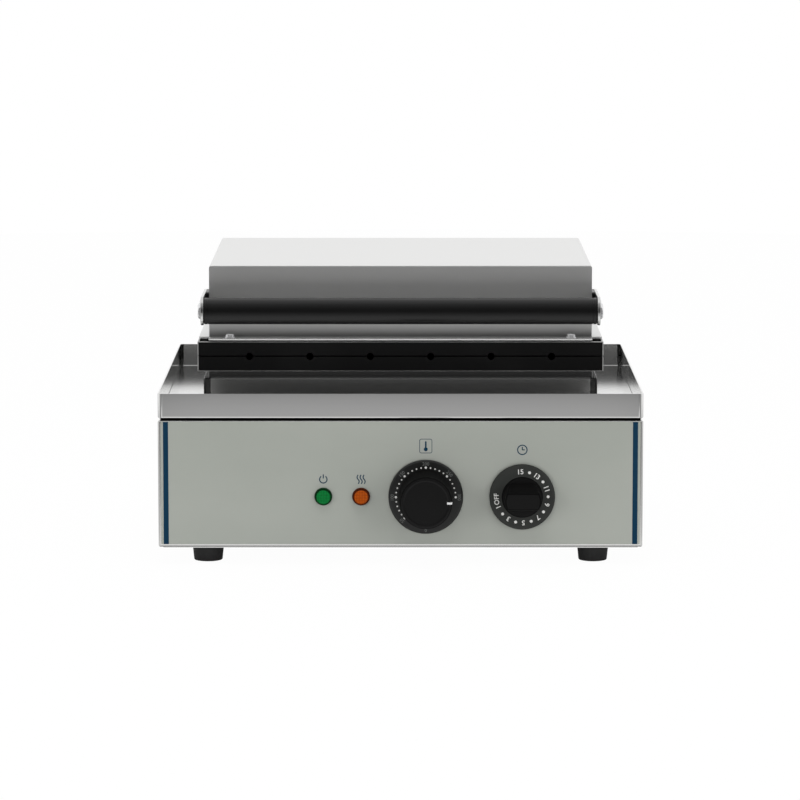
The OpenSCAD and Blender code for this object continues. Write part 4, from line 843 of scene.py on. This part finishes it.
# flat faces are made whole first, so that no bevel follows a line across them
def softenEdges():
    for name, width in edgeWidths.items():
        node = nodes[name]
        weld = node.modifiers.new("weld", "WELD")
        weld.merge_threshold = edgeSteps["weld"]
        flat = node.modifiers.new("flat", "DECIMATE")
        flat.decimate_type = "DISSOLVE"
        flat.angle_limit = math.radians(edgeSteps["flat"])
        bevel = node.modifiers.new("bevel", "BEVEL")
        bevel.width = width * mm
        bevel.segments = edgeSteps["segments"]
        bevel.limit_method = "ANGLE"
        bevel.angle_limit = math.radians(edgeSteps["sharp"])
        bevel.use_clamp_overlap = True
        bevel.loop_slide = False
        even = node.modifiers.new("even", "WEIGHTED_NORMAL")
        even.keep_sharp = False
        even.weight = edgeSteps["weight"]


softenEdges()
print("edges softened")


# camera as in the photograph, taken from a little above
shot = {"at": (-0.00035, -2.96365, 0.4984), "down": 7.70, "lens": 183.4, "sensor": 36.0, "near": 0.1,
        "far": 50}


def makeCamera():
    eye = bpy.data.cameras.new("camera")
    eye.lens = shot["lens"]
    eye.sensor_width = shot["sensor"]
    eye.clip_start = shot["near"]
    eye.clip_end = shot["far"]
    camera = bpy.data.objects.new("camera", eye)
    camera.location = shot["at"]
    camera.rotation_euler = (math.radians(90 - shot["down"]), 0, 0)
    bpy.context.scene.collection.objects.link(camera)
    bpy.context.scene.camera = camera


# camera rays see white all round, and mirrors the same white with a darker room in front
room = {"back": 1.0, "front": 0.09, "frontHigh": 0.45, "frontFrom": 0.08, "frontTo": 0.42, "highFrom": 0.30,
        "highTo": 0.95}


def makeWorld():
    world = bpy.data.worlds.new("studio")
    bpy.context.scene.world = world
    world.use_nodes = True
    tree = world.node_tree
    sky = tree.nodes["Background"]
    way = Wire(tree, tree.nodes.new("ShaderNodeTexCoord").outputs["Generated"])
    x, y, z = way.axes()
    front = (-1 * y).ramp(room["frontFrom"], room["frontTo"])
    wall = room["front"] + z.ramp(room["highFrom"], room["highTo"]) * (room["frontHigh"] - room["front"])
    level = room["back"] + front * (wall - room["back"])
    seen = Wire(tree, tree.nodes.new("ShaderNodeLightPath").outputs["Is Camera Ray"])
    plug(tree, sky.inputs["Color"], seen + (1 - seen) * level)
    sky.inputs["Strength"].default_value = 1.0


# white floor with a soft shadow; in mirrors it dims towards the front and has a painted shadow under the base
floorLook = {"radius": 2.4, "grey": 0.92, "speck": 300, "speckDark": 0.99, "rough": 0.8, "glow": 0.975,
             "dim": ((0.13, 1.0), (0.18, 0.52), (0.35, 0.46), (0.43, 0.42), (0.50, 0.13), (1.0, 0.10)),
             "beside": ((0.08, 1.0), (0.125, 0.62), (0.36, 0.62), (0.385, 1.05)),
             "under": 0.12, "underWide": 0.165, "underDeep": 0.140, "underSoft": 0.02}


def levels(wire, stops):
    greys = [(spot, tone(level)) for spot, level in stops]
    return wire.node("ShaderNodeValToRGB", {"stops": greys}, {0: wire})


def makeFloor():
    s = floorLook
    atEase()
    bpy.ops.mesh.primitive_circle_add(vertices=96, radius=s["radius"], fill_type="NGON", location=(0, 0, 0))
    floor = bpy.context.object
    floor.name = "floor"
    f = Finish("paleFloor")
    speck = f.noise(s["speck"], detail=2)
    f.feed(Base_Color=speck.blend(tone(s["grey"] * s["speckDark"]), tone(s["grey"])), Roughness=s["rough"])
    x, y, z = f.place.axes()
    dim = levels(-1 * y / s["radius"], s["dim"])
    beside = levels(x.size() / s["radius"], s["beside"])
    # painted shadow under the base, seen in mirrors
    below = (x.size().ramp(s["underWide"] + s["underSoft"], s["underWide"])
             * y.size().ramp(s["underDeep"] + s["underSoft"], s["underDeep"]))
    shaded = (1 - below * (1 - s["under"])) * beside
    path = f.tree.nodes.new("ShaderNodeLightPath")
    seen = Wire(f.tree, path.outputs["Is Camera Ray"])
    gloss = Wire(f.tree, path.outputs["Is Glossy Ray"])
    clear = Wire(f.tree, path.outputs["Is Transmission Ray"])
    mirrored = gloss.larger(clear) * (1 - seen)
    light = mirrored.blend(tone(1), dim * shaded)
    bright = dim.node("ShaderNodeEmission", inputs={"Color": light, "Strength": 1.0})
    mixed = seen.node("ShaderNodeMixShader", inputs={0: seen * s["glow"] + mirrored,
                                                     1: Wire(f.tree, f.shader.outputs[0]), 2: bright})
    plug(f.tree, f.tree.nodes["Material Output"].inputs["Surface"], mixed)
    floor.data.materials.append(f.material)


# soft lights that no mirror shows
softLights = {"leftLight": {"at": (-1.5, -1.6, 0.45), "size": 1.2, "watts": 12},
              "rightLight": {"at": (1.5, -1.6, 0.45), "size": 1.2, "watts": 12},
              "topLight": {"at": (0, -0.55, 1.5), "size": 0.8, "watts": 7}}
lightsAim = Vector((0, 0, 0.1))


def makeLights():
    for name, look in softLights.items():
        lamp = bpy.data.lights.new(name, "AREA")
        lamp.shape = "DISK"
        lamp.size = look["size"]
        lamp.energy = look["watts"]
        light = bpy.data.objects.new(name, lamp)
        light.location = look["at"]
        light.visible_glossy = False
        light.rotation_euler = (lightsAim - Vector(look["at"])).to_track_quat("-Z", "Y").to_euler()
        bpy.context.scene.collection.objects.link(light)


makeCamera()
makeWorld()
makeFloor()
makeLights()
bpy.context.scene.view_settings.view_transform = "Standard"
print("studio ready")
